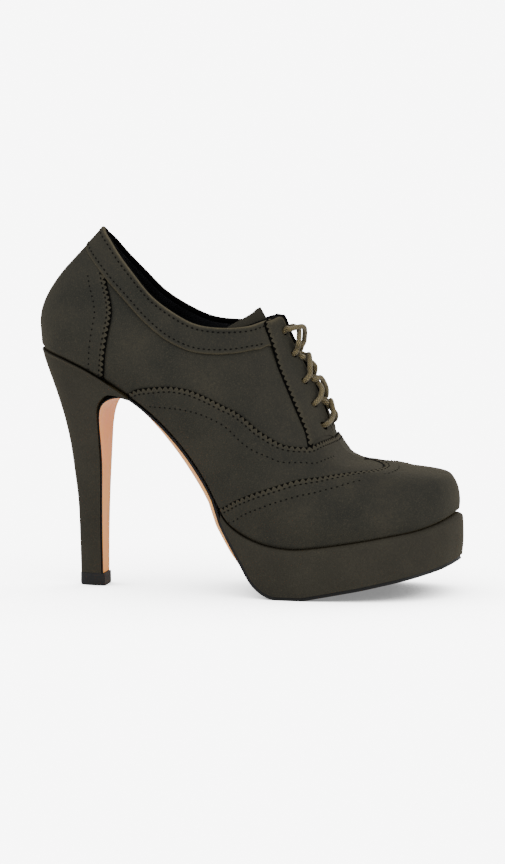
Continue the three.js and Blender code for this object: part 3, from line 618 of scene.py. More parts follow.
class MaterialTree:
    """A new material's node tree with its shader and its object coordinates."""

    def __init__(self, name: str) -> None:
        """Starts the material with an empty Principled shader."""
        self.material = bpy.data.materials.new(name)
        self.material.use_nodes = True
        self.tree = self.material.node_tree
        self.tree.nodes.clear()
        self.shader = add_node(self.tree, "ShaderNodeBsdfPrincipled")
        add_node(self.tree, "ShaderNodeOutputMaterial", {"Surface": self.shader.outputs[0]})
        self.place = add_node(self.tree, "ShaderNodeTexCoord").outputs["Object"]

    def noise(self, size_mm: float, detail: float = 2, roughness: float = 0.5,
              stretch: tuple[float, float, float] = (1, 1, 1)) -> bpy.types.NodeSocket:
        """Returns a noise pattern whose blotches are about size_mm across."""
        spot = add_node(self.tree, "ShaderNodeMapping", {"Vector": self.place, "Scale": stretch})
        return add_node(self.tree, "ShaderNodeTexNoise",
                        {"Vector": spot.outputs[0], "Scale": 1 / (size_mm * MM), "Detail": detail,
                         "Roughness": roughness}).outputs["Fac"]

    def spread(self, value: bpy.types.NodeSocket, low: float, high: float, to_low: float,
               to_high: float) -> bpy.types.NodeSocket:
        """Returns value stretched from the range low to high to another, and held inside it."""
        return add_node(self.tree, "ShaderNodeMapRange",
                        {"Value": value, "From Min": low, "From Max": high, "To Min": to_low,
                         "To Max": to_high}).outputs[0]

    def blend(self, share: bpy.types.NodeSocket | float, a: object, b: object) -> bpy.types.NodeSocket:
        """Returns the colour a mixed with b."""
        return add_node(self.tree, "ShaderNodeMix", {0: share, 6: a, 7: b},
                        data_type="RGBA").outputs[2]

    def bump(self, height: bpy.types.NodeSocket, depth_mm: float, strength: float = 1.0,
             under: bpy.types.NodeSocket | None = None) -> bpy.types.NodeSocket:
        """Turns a height pattern into a surface normal.

        Args:
            height: the pattern, from 0 to 1.
            depth_mm: how deep it is.
            strength: how much of it shows.
            under: the normal of a coarser pattern that it lies on.

        Returns:
            The normal.
        """
        inputs = {"Height": height, "Strength": strength, "Distance": depth_mm * MM}
        if under is not None:
            inputs["Normal"] = under
        return add_node(self.tree, "ShaderNodeBump", inputs).outputs[0]

    def math(self, operation: str, *values: bpy.types.NodeSocket | float) -> bpy.types.NodeSocket:
        """Returns what the operation makes of the values."""
        return add_node(self.tree, "ShaderNodeMath", dict(enumerate(values)), operation=operation).outputs[0]

    def attribute(self, name: str) -> bpy.types.NodeSocket:
        """Returns the piece's own attribute of this name."""
        return add_node(self.tree, "ShaderNodeAttribute", attribute_name=name).outputs["Fac"]

    def finish(self, **sockets: object) -> bpy.types.Material:
        """Sets or links the shader's sockets.

        Args:
            sockets: a value or an output socket, by input name with underscores for spaces.

        Returns:
            The material.
        """
        for name, value in sockets.items():
            socket = self.shader.inputs[name.replace("_", " ")]
            if isinstance(value, bpy.types.NodeSocket):
                self.tree.links.new(value, socket)
            else:
                socket.default_value = value
        return self.material


@dataclass(frozen=True)
class Nubuck:
    """Nubuck: full-grain leather buffed to a short nap, so it is matt and lighter at a glancing look."""

    name: str = "nubuck"
    deep: str = "#24241f"
    body: str = "#2b2b27"
    light: str = "#3f3b30"
    # colour of pale edges: partly rubbed nap, partly painted highlight
    rubbed_and_highlit: str = "#6a614a"
    # colour of the painted shade where the leather meets the sole
    crease_shade: str = "#040403"
    blotch_mm: float = 26.0
    nap_mm: float = 1.3          # the real nap is about 0.2 mm, too fine to show
    grain_mm: float = 0.6
    sheen: str = "#98865a"

    def build(self) -> bpy.types.Material:
        """Makes blotches of stroked nap, fine grain, edges paled partly by rubbing and partly by painted
        highlight, and painted shade in creases.

        Returns:
            The material.
        """
        tree = MaterialTree(self.name)
        blotch = tree.noise(self.blotch_mm, detail=5, roughness=0.62)
        nap = tree.noise(self.nap_mm, detail=3, roughness=0.7)
        grain = tree.noise(self.grain_mm, detail=2)
        ground = tree.blend(tree.spread(blotch, 0.34, 0.7, 0, 1), linear(self.deep), linear(self.light))
        ground = tree.blend(tree.spread(nap, 0.3, 0.7, 0.3, 0.8), ground, linear(self.body))
        ground = tree.blend(tree.spread(grain, 0.5, 0.75, 0, 0.75), ground, linear(self.light))
        wear_and_painted_light = tree.attribute("wear_and_painted_light")
        # Above 0 the attribute pales the nap: partly wear, partly painted highlight on folded edges.
        worn_and_highlit = tree.math("MULTIPLY", wear_and_painted_light, tree.spread(nap, 0.3, 0.7, 0.35, 1))
        colour = tree.blend(worn_and_highlit, ground, linear(self.rubbed_and_highlit))
        # Below 0 it darkens towards the shade colour: painted shade in creases and tucks.
        colour = tree.blend(tree.spread(wear_and_painted_light, -1, 0, 1, 0), colour, linear(self.crease_shade))
        soft = tree.bump(blotch, 0.30, 0.4)
        fine = tree.bump(nap, 0.12, 0.6, soft)
        return tree.finish(Base_Color=colour, Roughness=tree.spread(nap, 0.3, 0.7, 0.8, 0.97),
                           Normal=tree.bump(grain, 0.06, 0.5, fine), Specular_IOR_Level=0.16,
                           Sheen_Weight=0.2, Sheen_Roughness=0.4, Sheen_Tint=linear(self.sheen))


@dataclass(frozen=True)
class LiningLeather:
    """Finished kid lining: black, pigmented and glazed, so it is smooth with a soft gloss."""

    name: str = "lining_leather"
    body: str = "#0e0e10"
    light: str = "#1b1b1e"
    pore_mm: float = 0.7
    wrinkle_mm: float = 9.0

    def build(self) -> bpy.types.Material:
        """Makes faint pores and long soft wrinkles under a glaze.

        Returns:
            The material.
        """
        tree = MaterialTree(self.name)
        wrinkle = tree.noise(self.wrinkle_mm, detail=2, stretch=(0.5, 1, 1.4))
        pore = tree.noise(self.pore_mm, detail=2)
        colour = tree.blend(tree.spread(wrinkle, 0.3, 0.7, 0, 1), linear(self.body), linear(self.light))
        return tree.finish(Base_Color=colour, Roughness=tree.spread(pore, 0.3, 0.7, 0.3, 0.44),
                           Normal=tree.bump(pore, 0.04, 0.4, tree.bump(wrinkle, 0.7, 0.5)),
                           Specular_IOR_Level=0.5)


@dataclass(frozen=True)
class SoleLeather:
    """Vegetable-tanned sole bend, stained tan and glazed: smooth, slightly streaked, half glossy."""

    name: str = "sole_leather"
    body: str = "#ffa61e"
    light: str = "#ffb93c"
    deep: str = "#f8941a"
    streak_mm: float = 3.0
    cloud_mm: float = 26.0
    pore_mm: float = 0.6

    def build(self) -> bpy.types.Material:
        """Makes streaks along the hide, faint clouds and fine pores.

        Returns:
            The material.
        """
        tree = MaterialTree(self.name)
        streak = tree.noise(self.streak_mm, detail=4, roughness=0.6, stretch=(0.25, 1, 0.25))
        cloud = tree.noise(self.cloud_mm, detail=2)
        pore = tree.noise(self.pore_mm, detail=2)
        colour = tree.blend(tree.spread(streak, 0.35, 0.7, 0, 1), linear(self.body), linear(self.light))
        colour = tree.blend(tree.spread(cloud, 0.45, 0.8, 0, 0.35), colour, linear(self.deep))
        return tree.finish(Base_Color=colour, Roughness=tree.spread(streak, 0.3, 0.7, 0.3, 0.42),
                           Normal=tree.bump(pore, 0.03, 0.4), Specular_IOR_Level=0.25)


@dataclass(frozen=True)
class DarkFinish:
    """Base of the dark finishes, whose colour, gloss and surface follow one fine pattern."""

    name: str
    body: str
    light: str
    pattern_mm: float
    gloss: tuple[float, float]
    shine: float
    detail: float = 3
    stretch: tuple[float, float, float] = (1, 1, 1)
    relief: tuple[float, float] | None = None  # depth in millimetres, and how much of it shows

    def build(self) -> bpy.types.Material:
        """Makes the pattern.

        Returns:
            The material.
        """
        tree = MaterialTree(self.name)
        pattern = tree.noise(self.pattern_mm, self.detail, stretch=self.stretch)
        colour = tree.blend(tree.spread(pattern, 0.3, 0.7, 0, 1), linear(self.body), linear(self.light))
        if self.relief:
            tree.finish(Normal=tree.bump(pattern, *self.relief))
        return tree.finish(Base_Color=colour, Roughness=tree.spread(pattern, 0.3, 0.7, *self.gloss),
                           Specular_IOR_Level=self.shine)


@dataclass(frozen=True)
class EdgePaint(DarkFinish):
    """Black acrylic edge paint, brushed on and burnished: half glossy, with the brush's long ripples."""

    name: str = "edge_paint"
    body: str = "#070707"
    light: str = "#0e0e0f"
    pattern_mm: float = 2.5
    gloss: tuple[float, float] = (0.42, 0.6)
    shine: float = 0.3
    stretch: tuple[float, float, float] = (0.4, 0.4, 1.5)
    relief: tuple[float, float] | None = (0.08, 0.4)


@dataclass(frozen=True)
class LiftRubber(DarkFinish):
    """Moulded styrene rubber of the top piece: black, matt, with a fine even stipple."""

    name: str = "lift_rubber"
    body: str = "#0c0c0d"
    light: str = "#171718"
    pattern_mm: float = 0.8
    gloss: tuple[float, float] = (0.6, 0.8)
    shine: float = 0.4
    relief: tuple[float, float] | None = (0.08, 0.5)


@dataclass(frozen=True)
class WaxedThread(DarkFinish):
    """Waxed polyester sewing thread, sunk in the leather: near black, dull, a little uneven."""

    name: str = "waxed_thread"
    body: str = "#030303"
    light: str = "#090807"
    pattern_mm: float = 1.0
    gloss: tuple[float, float] = (0.7, 0.85)
    shine: float = 0.1
    detail: float = 2


@dataclass(frozen=True)
class LaceCord:
    """Round braided cotton lace, waxed: olive tan strands, painted shade in the gaps between them, and a low
    shine.
    """

    name: str = "lace_cord"
    strand: str = "#6b5e3c"
    light: str = "#9c8b5e"
    gap: str = "#191409"
    strands_round: int = 4
    plait_mm: float = 2.2
    fibre_mm: float = 0.5

    def build(self) -> bpy.types.Material:
        """Makes two families of strands that cross, on the cord's own UV map.

        Returns:
            The material.
        """
        tree = MaterialTree(self.name)
        uv = add_node(tree.tree, "ShaderNodeUVMap", uv_map="cord").outputs[0]
        parts = add_node(tree.tree, "ShaderNodeSeparateXYZ", {0: uv}).outputs
        waves = []
        for lean in (1, -1):
            turn = tree.math("MULTIPLY", parts[0], math.tau * self.strands_round * lean)
            phase = tree.math("MULTIPLY_ADD", parts[1], math.tau / self.plait_mm, turn)
            waves.append(tree.math("SINE", phase))
        relief = tree.math("ABSOLUTE", tree.math("MULTIPLY", *waves))
        fibre = tree.noise(self.fibre_mm, detail=3)
        colour = tree.blend(tree.spread(fibre, 0.3, 0.7, 0, 1), linear(self.strand), linear(self.light))
        # Painted shade: darker towards the gap colour in the grooves between strands.
        colour = tree.blend(tree.spread(relief, 0.12, 0.62, 0.95, 0), colour, linear(self.gap))
        return tree.finish(Base_Color=colour, Roughness=tree.spread(fibre, 0.3, 0.7, 0.45, 0.65),
                           Normal=tree.bump(relief, 0.35, 0.8), Specular_IOR_Level=0.4,
                           Sheen_Weight=0.15, Sheen_Roughness=0.4)


@dataclass
class Finishes:
    """The finished materials of the shoe."""

    nubuck: bpy.types.Material = field(default_factory=lambda: Nubuck().build())
    covered: bpy.types.Material = field(default_factory=lambda: Nubuck(
        name="nubuck_cover", deep="#2a2822", body="#312f29", light="#3d3a30", blotch_mm=30.0).build())
    lining: bpy.types.Material = field(default_factory=lambda: LiningLeather().build())
    sole: bpy.types.Material = field(default_factory=lambda: SoleLeather().build())
    paint: bpy.types.Material = field(default_factory=lambda: EdgePaint().build())
    ink: bpy.types.Material = field(default_factory=lambda: EdgePaint(
        name="inked_edge", body="#030303", light="#060606", gloss=(0.9, 0.98), shine=0.05).build())
    rubber: bpy.types.Material = field(default_factory=lambda: LiftRubber().build())
    thread: bpy.types.Material = field(default_factory=lambda: WaxedThread().build())
    cord: bpy.types.Material = field(default_factory=lambda: LaceCord().build())


# Pieces of the upper.

# Edges of the panels and places of the eyelets, as row and share.
BAND_EDGE = ((0, 0.815), (1, 0.80), (2.52, 0.78), (3.28, 0.772), (4.44, 0.765), (5.2, 0.755), (5.92, 0.742),
             (6.36, 0.747), (7.2, 0.77), (7.96, 0.80), (8.68, 0.83), (9.2, 0.842), (9.7, 0.842),
             (10.5, 0.833), (11.3, 0.845))
COUNTER_EDGE = ((4.4, 0), (4.34, 0.11), (4.24, 0.24), (4.08, 0.40), (3.95, 0.52), (3.80, 0.60),
                (3.50, 0.67), (3.1, 0.73), (2.7, 0.785))
FACING_EDGE = ((9.85, 1), (10.2, 0.93), (10.6, 0.885), (11.1, 0.845), (11.68, 0.815), (12.54, 0.775),
               (13.44, 0.725), (13.88, 0.695), (14.18, 0.65))
VAMP_EDGE = ((5.4, 0), (5.68, 0.12), (6.2, 0.25), (6.88, 0.385), (7.56, 0.46), (8.24, 0.49), (8.9, 0.502),
             (9.8, 0.505), (10.8, 0.485), (11.5, 0.482), (12.28, 0.50), (12.8, 0.52), (13.28, 0.55),
             (13.72, 0.585), (14.2, 0.64), (14.56, 0.74), (14.84, 0.86), (15, 1))
VAMP_DECOR = ((6.32, 0.09), (6.9, 0.20), (7.6, 0.305), (8.44, 0.38), (9.48, 0.41), (11.12, 0.39),
              (12.48, 0.43), (13.4, 0.48), (14.44, 0.58), (15.0, 0.69), (15.36, 0.79))
WING_EDGE = ((10.0, 0), (10.56, 0.06), (11.16, 0.13), (12.16, 0.24), (13.0, 0.33), (13.8, 0.41),
             (14.28, 0.46), (14.76, 0.52), (15.24, 0.58), (15.8, 0.645), (16.28, 0.695), (16.8, 0.74),
             (17.3, 0.79), (17.58, 0.84), (17.55, 0.90), (17.15, 0.96), (16.7, 1))
EYELETS = ((11.4, 0.94), (12.2, 0.93), (12.97, 0.895), (13.75, 0.87), (14.44, 0.875))


class Cut(Enum):
    """How an edge of a panel is made."""

    RAW = "raw"
    FOLDED = "folded"
    NOTCHED = "notched"
    SAWN = "sawn"


# How pale each kind of edge is, partly from wear and partly painted highlight, and how far the black
# underlay, partly a dark sheet standing in for the shade in the notches, stands out past it.
EDGE_WEAR_AND_HIGHLIGHT = {Cut.RAW: 0.0, Cut.FOLDED: 0.7, Cut.NOTCHED: 0.22, Cut.SAWN: 0.22}
SHADE_UNDERLAY_OUT = {Cut.NOTCHED: 0.6, Cut.SAWN: 1.1}
TOOTH = (0.5, 0.15, -0.55, 0.15)  # one tooth and one notch of a pinked edge
TUCK_LEVELS = (0.5, 1.1, 1.8, 2.6)  # millimetres above the sole where a tucked panel has points
TRIANGLE_HEIGHT = 0.866      # of an even triangle with sides of 1
VAMP_RISE = 0.25
FACING_SPACING = 1.1


def vamp_rise(row: np.ndarray, share: np.ndarray) -> np.ndarray:
    """Returns how much higher the vamp lies where it covers the ends of the facings."""
    return VAMP_RISE * ease((row - 13.4) / 0.6) * ease((15.8 - row) / 0.7) * ease((share - 0.58) / 0.08)


@dataclass
class Panel:
    """A flat-cut piece of leather that lies on the last, the same on both sides of the foot."""

    last: Last
    name: str
    outline: Sequence[tuple[np.ndarray, Cut]]
    top: HeightField
    base: float = 0.0
    holes: Sequence[tuple[float, float]] = ()
    sides: Sequence[int] = BOTH_SIDES
    hole_radius: float = 1.7
    hole_points: int = 14
    spacing: float = 1.45
    edge_spacing: float = 1.1
    tooth_pitch: float = 2.75
    tooth_depth: float = 1.55
    roll: float = 0.35           # how far the leather rounds down at an edge
    roll_width: float = 0.9
    wear_and_highlight_width: float = 0.8
    # Up to the next height the leather gets painted shade where it meets the sole.
    crease_shade_height: float = 0.2   # up to here the leather is dark where it meets the sole
    tuck: float = 1.3            # how far the leather draws in where it meets the sole
    tuck_height: float = 2.4
    # The black strip is partly a backing and partly a dark sheet that stands in for the shade in the
    # notches.
    shade_underlay: tuple[float, float] = (1.0, 0.4)  # depths of the black strip under a pinked edge
    shade_underlay_in: float = 2.0     # how far that strip reaches in under the leather

    def _outward(self) -> int:
        """Returns 1 where the outside of the outline is to the left of travel, or -1."""
        x, y = self.last.to_chart(*np.concatenate([path for path, _ in self.outline]).T)
        return -1 if np.sum(x * np.roll(y, -1) - np.roll(x, -1) * y) > 0 else 1

    def _pink(self, path: np.ndarray) -> np.ndarray:
        """Cuts teeth along a path.

        Args:
            path: the edge as (row, share).

        Returns:
            The pinked edge, with its ends left where they are.
        """
        teeth = self.last.resample(path, self.tooth_pitch / len(TOOTH))
        sway = np.resize(TOOTH, len(teeth)) * self.tooth_depth * self._outward()
        sway[[0, -1]] = 0
        return self.last.shift(teeth, sway)

    def _border(self) -> tuple[np.ndarray, np.ndarray]:
        """Joins the edges into one closed outline.

        Returns:
            Its points of (row, share), and how pale each one is, partly from wear and partly painted
            highlight.
        """
        parts, pale = [], []
        for path, cut in self.outline:
            if cut in SHADE_UNDERLAY_OUT:
                points = self._pink(path)
            else:
                points = self.last.resample(path, self.edge_spacing)
            parts.append(points[:-1])
            pale.append(np.full(len(points) - 1, EDGE_WEAR_AND_HIGHLIGHT[cut]))
        return np.concatenate(parts), np.concatenate(pale)

    def _chart_points(self, border: np.ndarray) -> tuple[np.ndarray, np.ndarray, list]:
        """Finds every point of the panel: its outline, the rims of its holes and those inside.

        Args:
            border: the closed outline as (row, share).

        Returns:
            The points of (row, share), their places in the flat chart, and the loops of edges.
        """
        chart = self.last.chart_path(border)
        points, loops = [border], [np.arange(len(border))]
        turn = np.linspace(0, math.tau, self.hole_points, endpoint=False)
        rim = np.stack([np.cos(turn), np.sin(turn)], axis=1) * self.hole_radius
        centres = self.last.chart_path(np.array(self.holes)) if self.holes else np.empty((0, 2))
        for centre in centres:
            loops.append(sum(map(len, points)) + np.arange(len(rim)))
            points.append(np.stack(self.last.from_chart(*(centre + rim).T), axis=1))
        fixed = np.concatenate([self.last.chart_path(p) for p in points])
        grid = self._inner_points(chart, border[:, 1] < NEAR)
        clear = np.where(grid[:, 1] < self.tuck_height + 0.5, 0.4, 0.6 * self.spacing)
        grid = grid[nearest(grid, fixed) > clear]
        for centre in centres:
            grid = grid[np.hypot(*(grid - centre).T) > self.hole_radius + 0.4]
        points.append(np.stack(self.last.from_chart(*grid.T), axis=1))
        return np.concatenate(points), np.concatenate([fixed, grid]), loops

    def _inner_points(self, chart: np.ndarray, on_feather: np.ndarray) -> np.ndarray:
        """Lays an even grid of points inside the outline, with closer rows above the sole.

        Args:
            chart: the outline's places in the flat chart.
            on_feather: True for each of them that lies on the feather edge.

        Returns:
            The grid's places in the chart.
        """
        low, high = chart.min(axis=0), chart.max(axis=0)
        xs = np.arange(low[0], high[0], self.spacing)
        ys = np.arange(self.tuck_height + 0.9, high[1], self.spacing * TRIANGLE_HEIGHT)
        grid = np.stack(np.meshgrid(xs, ys), axis=-1)
        grid[1::2, :, 0] += self.spacing / 2
        above = np.stack(np.meshgrid(chart[on_feather][:, 0], TUCK_LEVELS), axis=-1)
        grid = np.concatenate([grid.reshape(-1, 2), above.reshape(-1, 2)])
        return grid[inside(chart, grid)]

    def _triangles(self, chart: np.ndarray, loops: list) -> np.ndarray:
        """Fills the outline, without the holes, with triangles.

        Args:
            chart: all points of the panel in the flat chart.
            loops: indices of the outline's points, and of each hole's.

        Returns:
            The indices of each triangle's corners.
        """
        edges = [(int(a), int(b)) for loop in loops for a, b in zip(loop, np.roll(loop, -1))]
        found = geometry.delaunay_2d_cdt([Vector(p) for p in chart], edges, [], 0, 1e-5)
        origin = [sources[0] if sources else -1 for sources in found[3]]
        faces = np.array([[origin[v] for v in face] for face in found[2]])
        faces = faces[(faces >= 0).all(axis=1)]
        middle = chart[faces].mean(axis=1)
        kept = inside(chart[loops[0]], middle)
        for loop in loops[1:]:
            kept &= ~inside(chart[loop], middle)
        return faces[kept]

    def _lay(self, row: np.ndarray, share: np.ndarray, side: int, off: np.ndarray) -> np.ndarray:
        """Places points of the panel, with the soft creases and the tuck above the sole.

        Args:
            row: section rows.
            share: shares of the section.
            side: OUTER or INNER.
            off: distance outwards from the last, in millimetres.

        Returns:
            The points in millimetres.
        """
        height = self.last.to_chart(row, share)[1]
        drawn = self.tuck * (1 - ease(height / self.tuck_height))
        return self.last.place(row, share, side, off - drawn + self.last.relief(row, share, side))

    def _shade_underlay_strip(self, path: np.ndarray, cut: Cut, side: int) -> tuple[np.ndarray, list]:
        """Makes the black strip under a pinked edge: partly a backing, partly a dark sheet that stands in
        for the shade in the notches.

        Args:
            path: the edge as (row, share), before it is pinked.
            cut: how it is pinked.
            side: OUTER or INNER.

        Returns:
            The strip's points in millimetres and its faces.
        """
        away = self._outward()
        path = self.last.resample(path, 1.0)
        lines = [self.last.shift(path, away * out) for out in (-self.shade_underlay_in, SHADE_UNDERLAY_OUT[cut])]
        deep, shallow = self.shade_underlay
        corners = [(lines[0], deep), (lines[0], shallow), (lines[1], shallow), (lines[1], deep)]
        rings = [self._lay(*line.T, side, self.top(*line.T) - depth) for line, depth in corners]
        count = len(path)
        faces = grid_faces(count, 4, loop=True) + [(0, 1, 2, 3)]
        faces.append(tuple(4 * (count - 1) + k for k in range(4)))
        return np.stack(rings, axis=1).reshape(-1, 3), faces

    def build(self) -> bpy.types.Object:
        """Makes the panel as one piece, joined on the seams.

        Returns:
            The piece; its cut edges and the strips under them have material slot 1.
        """
        border, pale = self._border()
        points, chart, loops = self._chart_points(border)
        faces = self._triangles(chart, loops)
        row, share = points.T
        seam = self.last.on_seam(row, share)
        edge = chart[np.concatenate([loop[~seam[loop]] for loop in loops])]
        rolled = self.roll * np.exp(-(nearest(chart, edge) / self.roll_width) ** 2)
        wear_and_painted_light = np.zeros(len(points))
        # Pale edges: partly rubbed nap, partly painted highlight where an edge catches the light.
        for value in set(pale[pale > 0]):
            far = nearest(chart, chart[:len(border)][pale == value])
            wear_and_painted_light = np.maximum(wear_and_painted_light, value * np.exp(-(far / self.wear_and_highlight_width) ** 2))
        # Painted shade: darker just above the sole, where the leather tucks in against it.
        wear_and_painted_light -= 1 - ease((chart[:, 1] - self.crease_shade_height) / 0.9)
        vertices, all_faces, marks, painted_lights_and_wears = [], [], [], []

        def append(new_points: np.ndarray, new_faces: list, new_marks: list, new_painted_light_and_wear: np.ndarray) -> None:
            """Adds one closed part to the panel.

            Args:
                new_points: its points.
                new_faces: its faces, counted from the first of them.
                new_marks: material slot of each face.
                new_painted_light_and_wear: the painted shade, painted highlight and wear of each point.
            """
            start = sum(map(len, vertices))
            vertices.append(new_points)
            all_faces.extend(tuple(start + v for v in face) for face in new_faces)
            marks.extend(new_marks)
            painted_lights_and_wears.append(new_painted_light_and_wear)

        for side in self.sides:
            fronts = faces if side == OUTER else faces[:, ::-1]
            backs = fronts[:, ::-1] + len(points)
            sides = open_edges(fronts)
            sides = sides[~(seam[sides].all(axis=1))]
            walls = np.stack([sides[:, 1], sides[:, 0], sides[:, 0] + len(points),
                              sides[:, 1] + len(points)], axis=1)
            high = self._lay(row, share, side, self.top(row, share) - rolled)
            low = self._lay(row, share, side, np.full(len(row), self.base))
            append(np.concatenate([high, low]), [*fronts.tolist(), *backs.tolist(), *walls.tolist()],
                   [0] * (2 * len(faces)) + [1] * len(walls), np.concatenate([wear_and_painted_light, np.zeros(len(wear_and_painted_light))]))
            # Black strips under pinked edges: partly backing, partly painted shade in the notches.
            for path, cut in self.outline:
                if cut in SHADE_UNDERLAY_OUT:
                    strip, strip_faces = self._shade_underlay_strip(path, cut, side)
                    append(strip, strip_faces, [1] * len(strip_faces), np.zeros(len(strip)))
        return make_mesh(self.name, np.concatenate(vertices), all_faces, 50, marks, np.concatenate(painted_lights_and_wears))


def inside(loop: np.ndarray, points: np.ndarray) -> np.ndarray:
    """Says which points lie inside a closed loop, both flat.

    Args:
        loop: the loop's points.
        points: the points to test.

    Returns:
        True for each point inside.
    """
    x, y = points[:, 0], points[:, 1]
    result = np.zeros(len(points), dtype=bool)
    for (ax, ay), (bx, by) in zip(loop, np.roll(loop, -1, axis=0)):
        if ay == by:
            continue
        result ^= ((ay > y) != (by > y)) & (x < (bx - ax) * (y - ay) / (by - ay) + ax)
    return result


def nearest(points: np.ndarray, others: np.ndarray) -> np.ndarray:
    """Returns each point's distance to the nearest of the others, a block at a time."""
    blocks = np.array_split(points, max(1, len(points) // 1000))
    return np.concatenate([np.linalg.norm(b[:, None] - others[None], axis=2).min(axis=1) for b in blocks])


def open_edges(faces: np.ndarray) -> np.ndarray:
    """Finds the edges that only one triangle has.

    Args:
        faces: indices of each triangle's corners.

    Returns:
        Both ends of each edge, in the triangle's direction.
    """
    edges = np.concatenate([faces[:, [0, 1]], faces[:, [1, 2]], faces[:, [2, 0]]])
    size = edges.max() + 1
    keys = np.sort(edges, axis=1) @ np.array([size, 1])
    _, first, counts = np.unique(keys, return_index=True, return_counts=True)
    return edges[first[counts == 1]]


def level(height: float) -> HeightField:
    """Returns a height that is the same everywhere."""
    return lambda row, share: np.full(np.shape(row), height)


# The band's folded edges: millimetres from its lower edge, or from the topline, and off the last.
BAND_FOLD = ((0.9, 0.05), (0.2, 0.05), (-0.25, 0.55), (-0.15, 1.05), (0.35, 1.40), (1.1, 1.50))
BAND_RIM = ((-1.3, 1.50), (-0.5, 1.42), (0.1, 1.1), (0.3, 0.6), (0.3, 0.0), (0.1, -0.45), (-0.8, -0.7),
            (-2.5, -0.6))
# How pale the band is along each of those lines, from the fold's third and from the rim's second: partly
# wear of the folded edges, partly painted highlight where they catch the light.
FOLD_WEAR_AND_HIGHLIGHT = (0.2, 0.45, 0.12)
RIM_WEAR_AND_HIGHLIGHT = (0.15, 0.7, 0.5, 0.1)
# The lining's rolled edge, in the same measures.
LINING_ROLL = ((-1.9, -0.95), (-0.3, -0.7), (0.25, -0.85), (0.45, -1.2), (0.42, -1.65), (0.1, -2.0),
               (-0.6, -2.2), (-1.5, -2.2), (-1.9, -2.0))


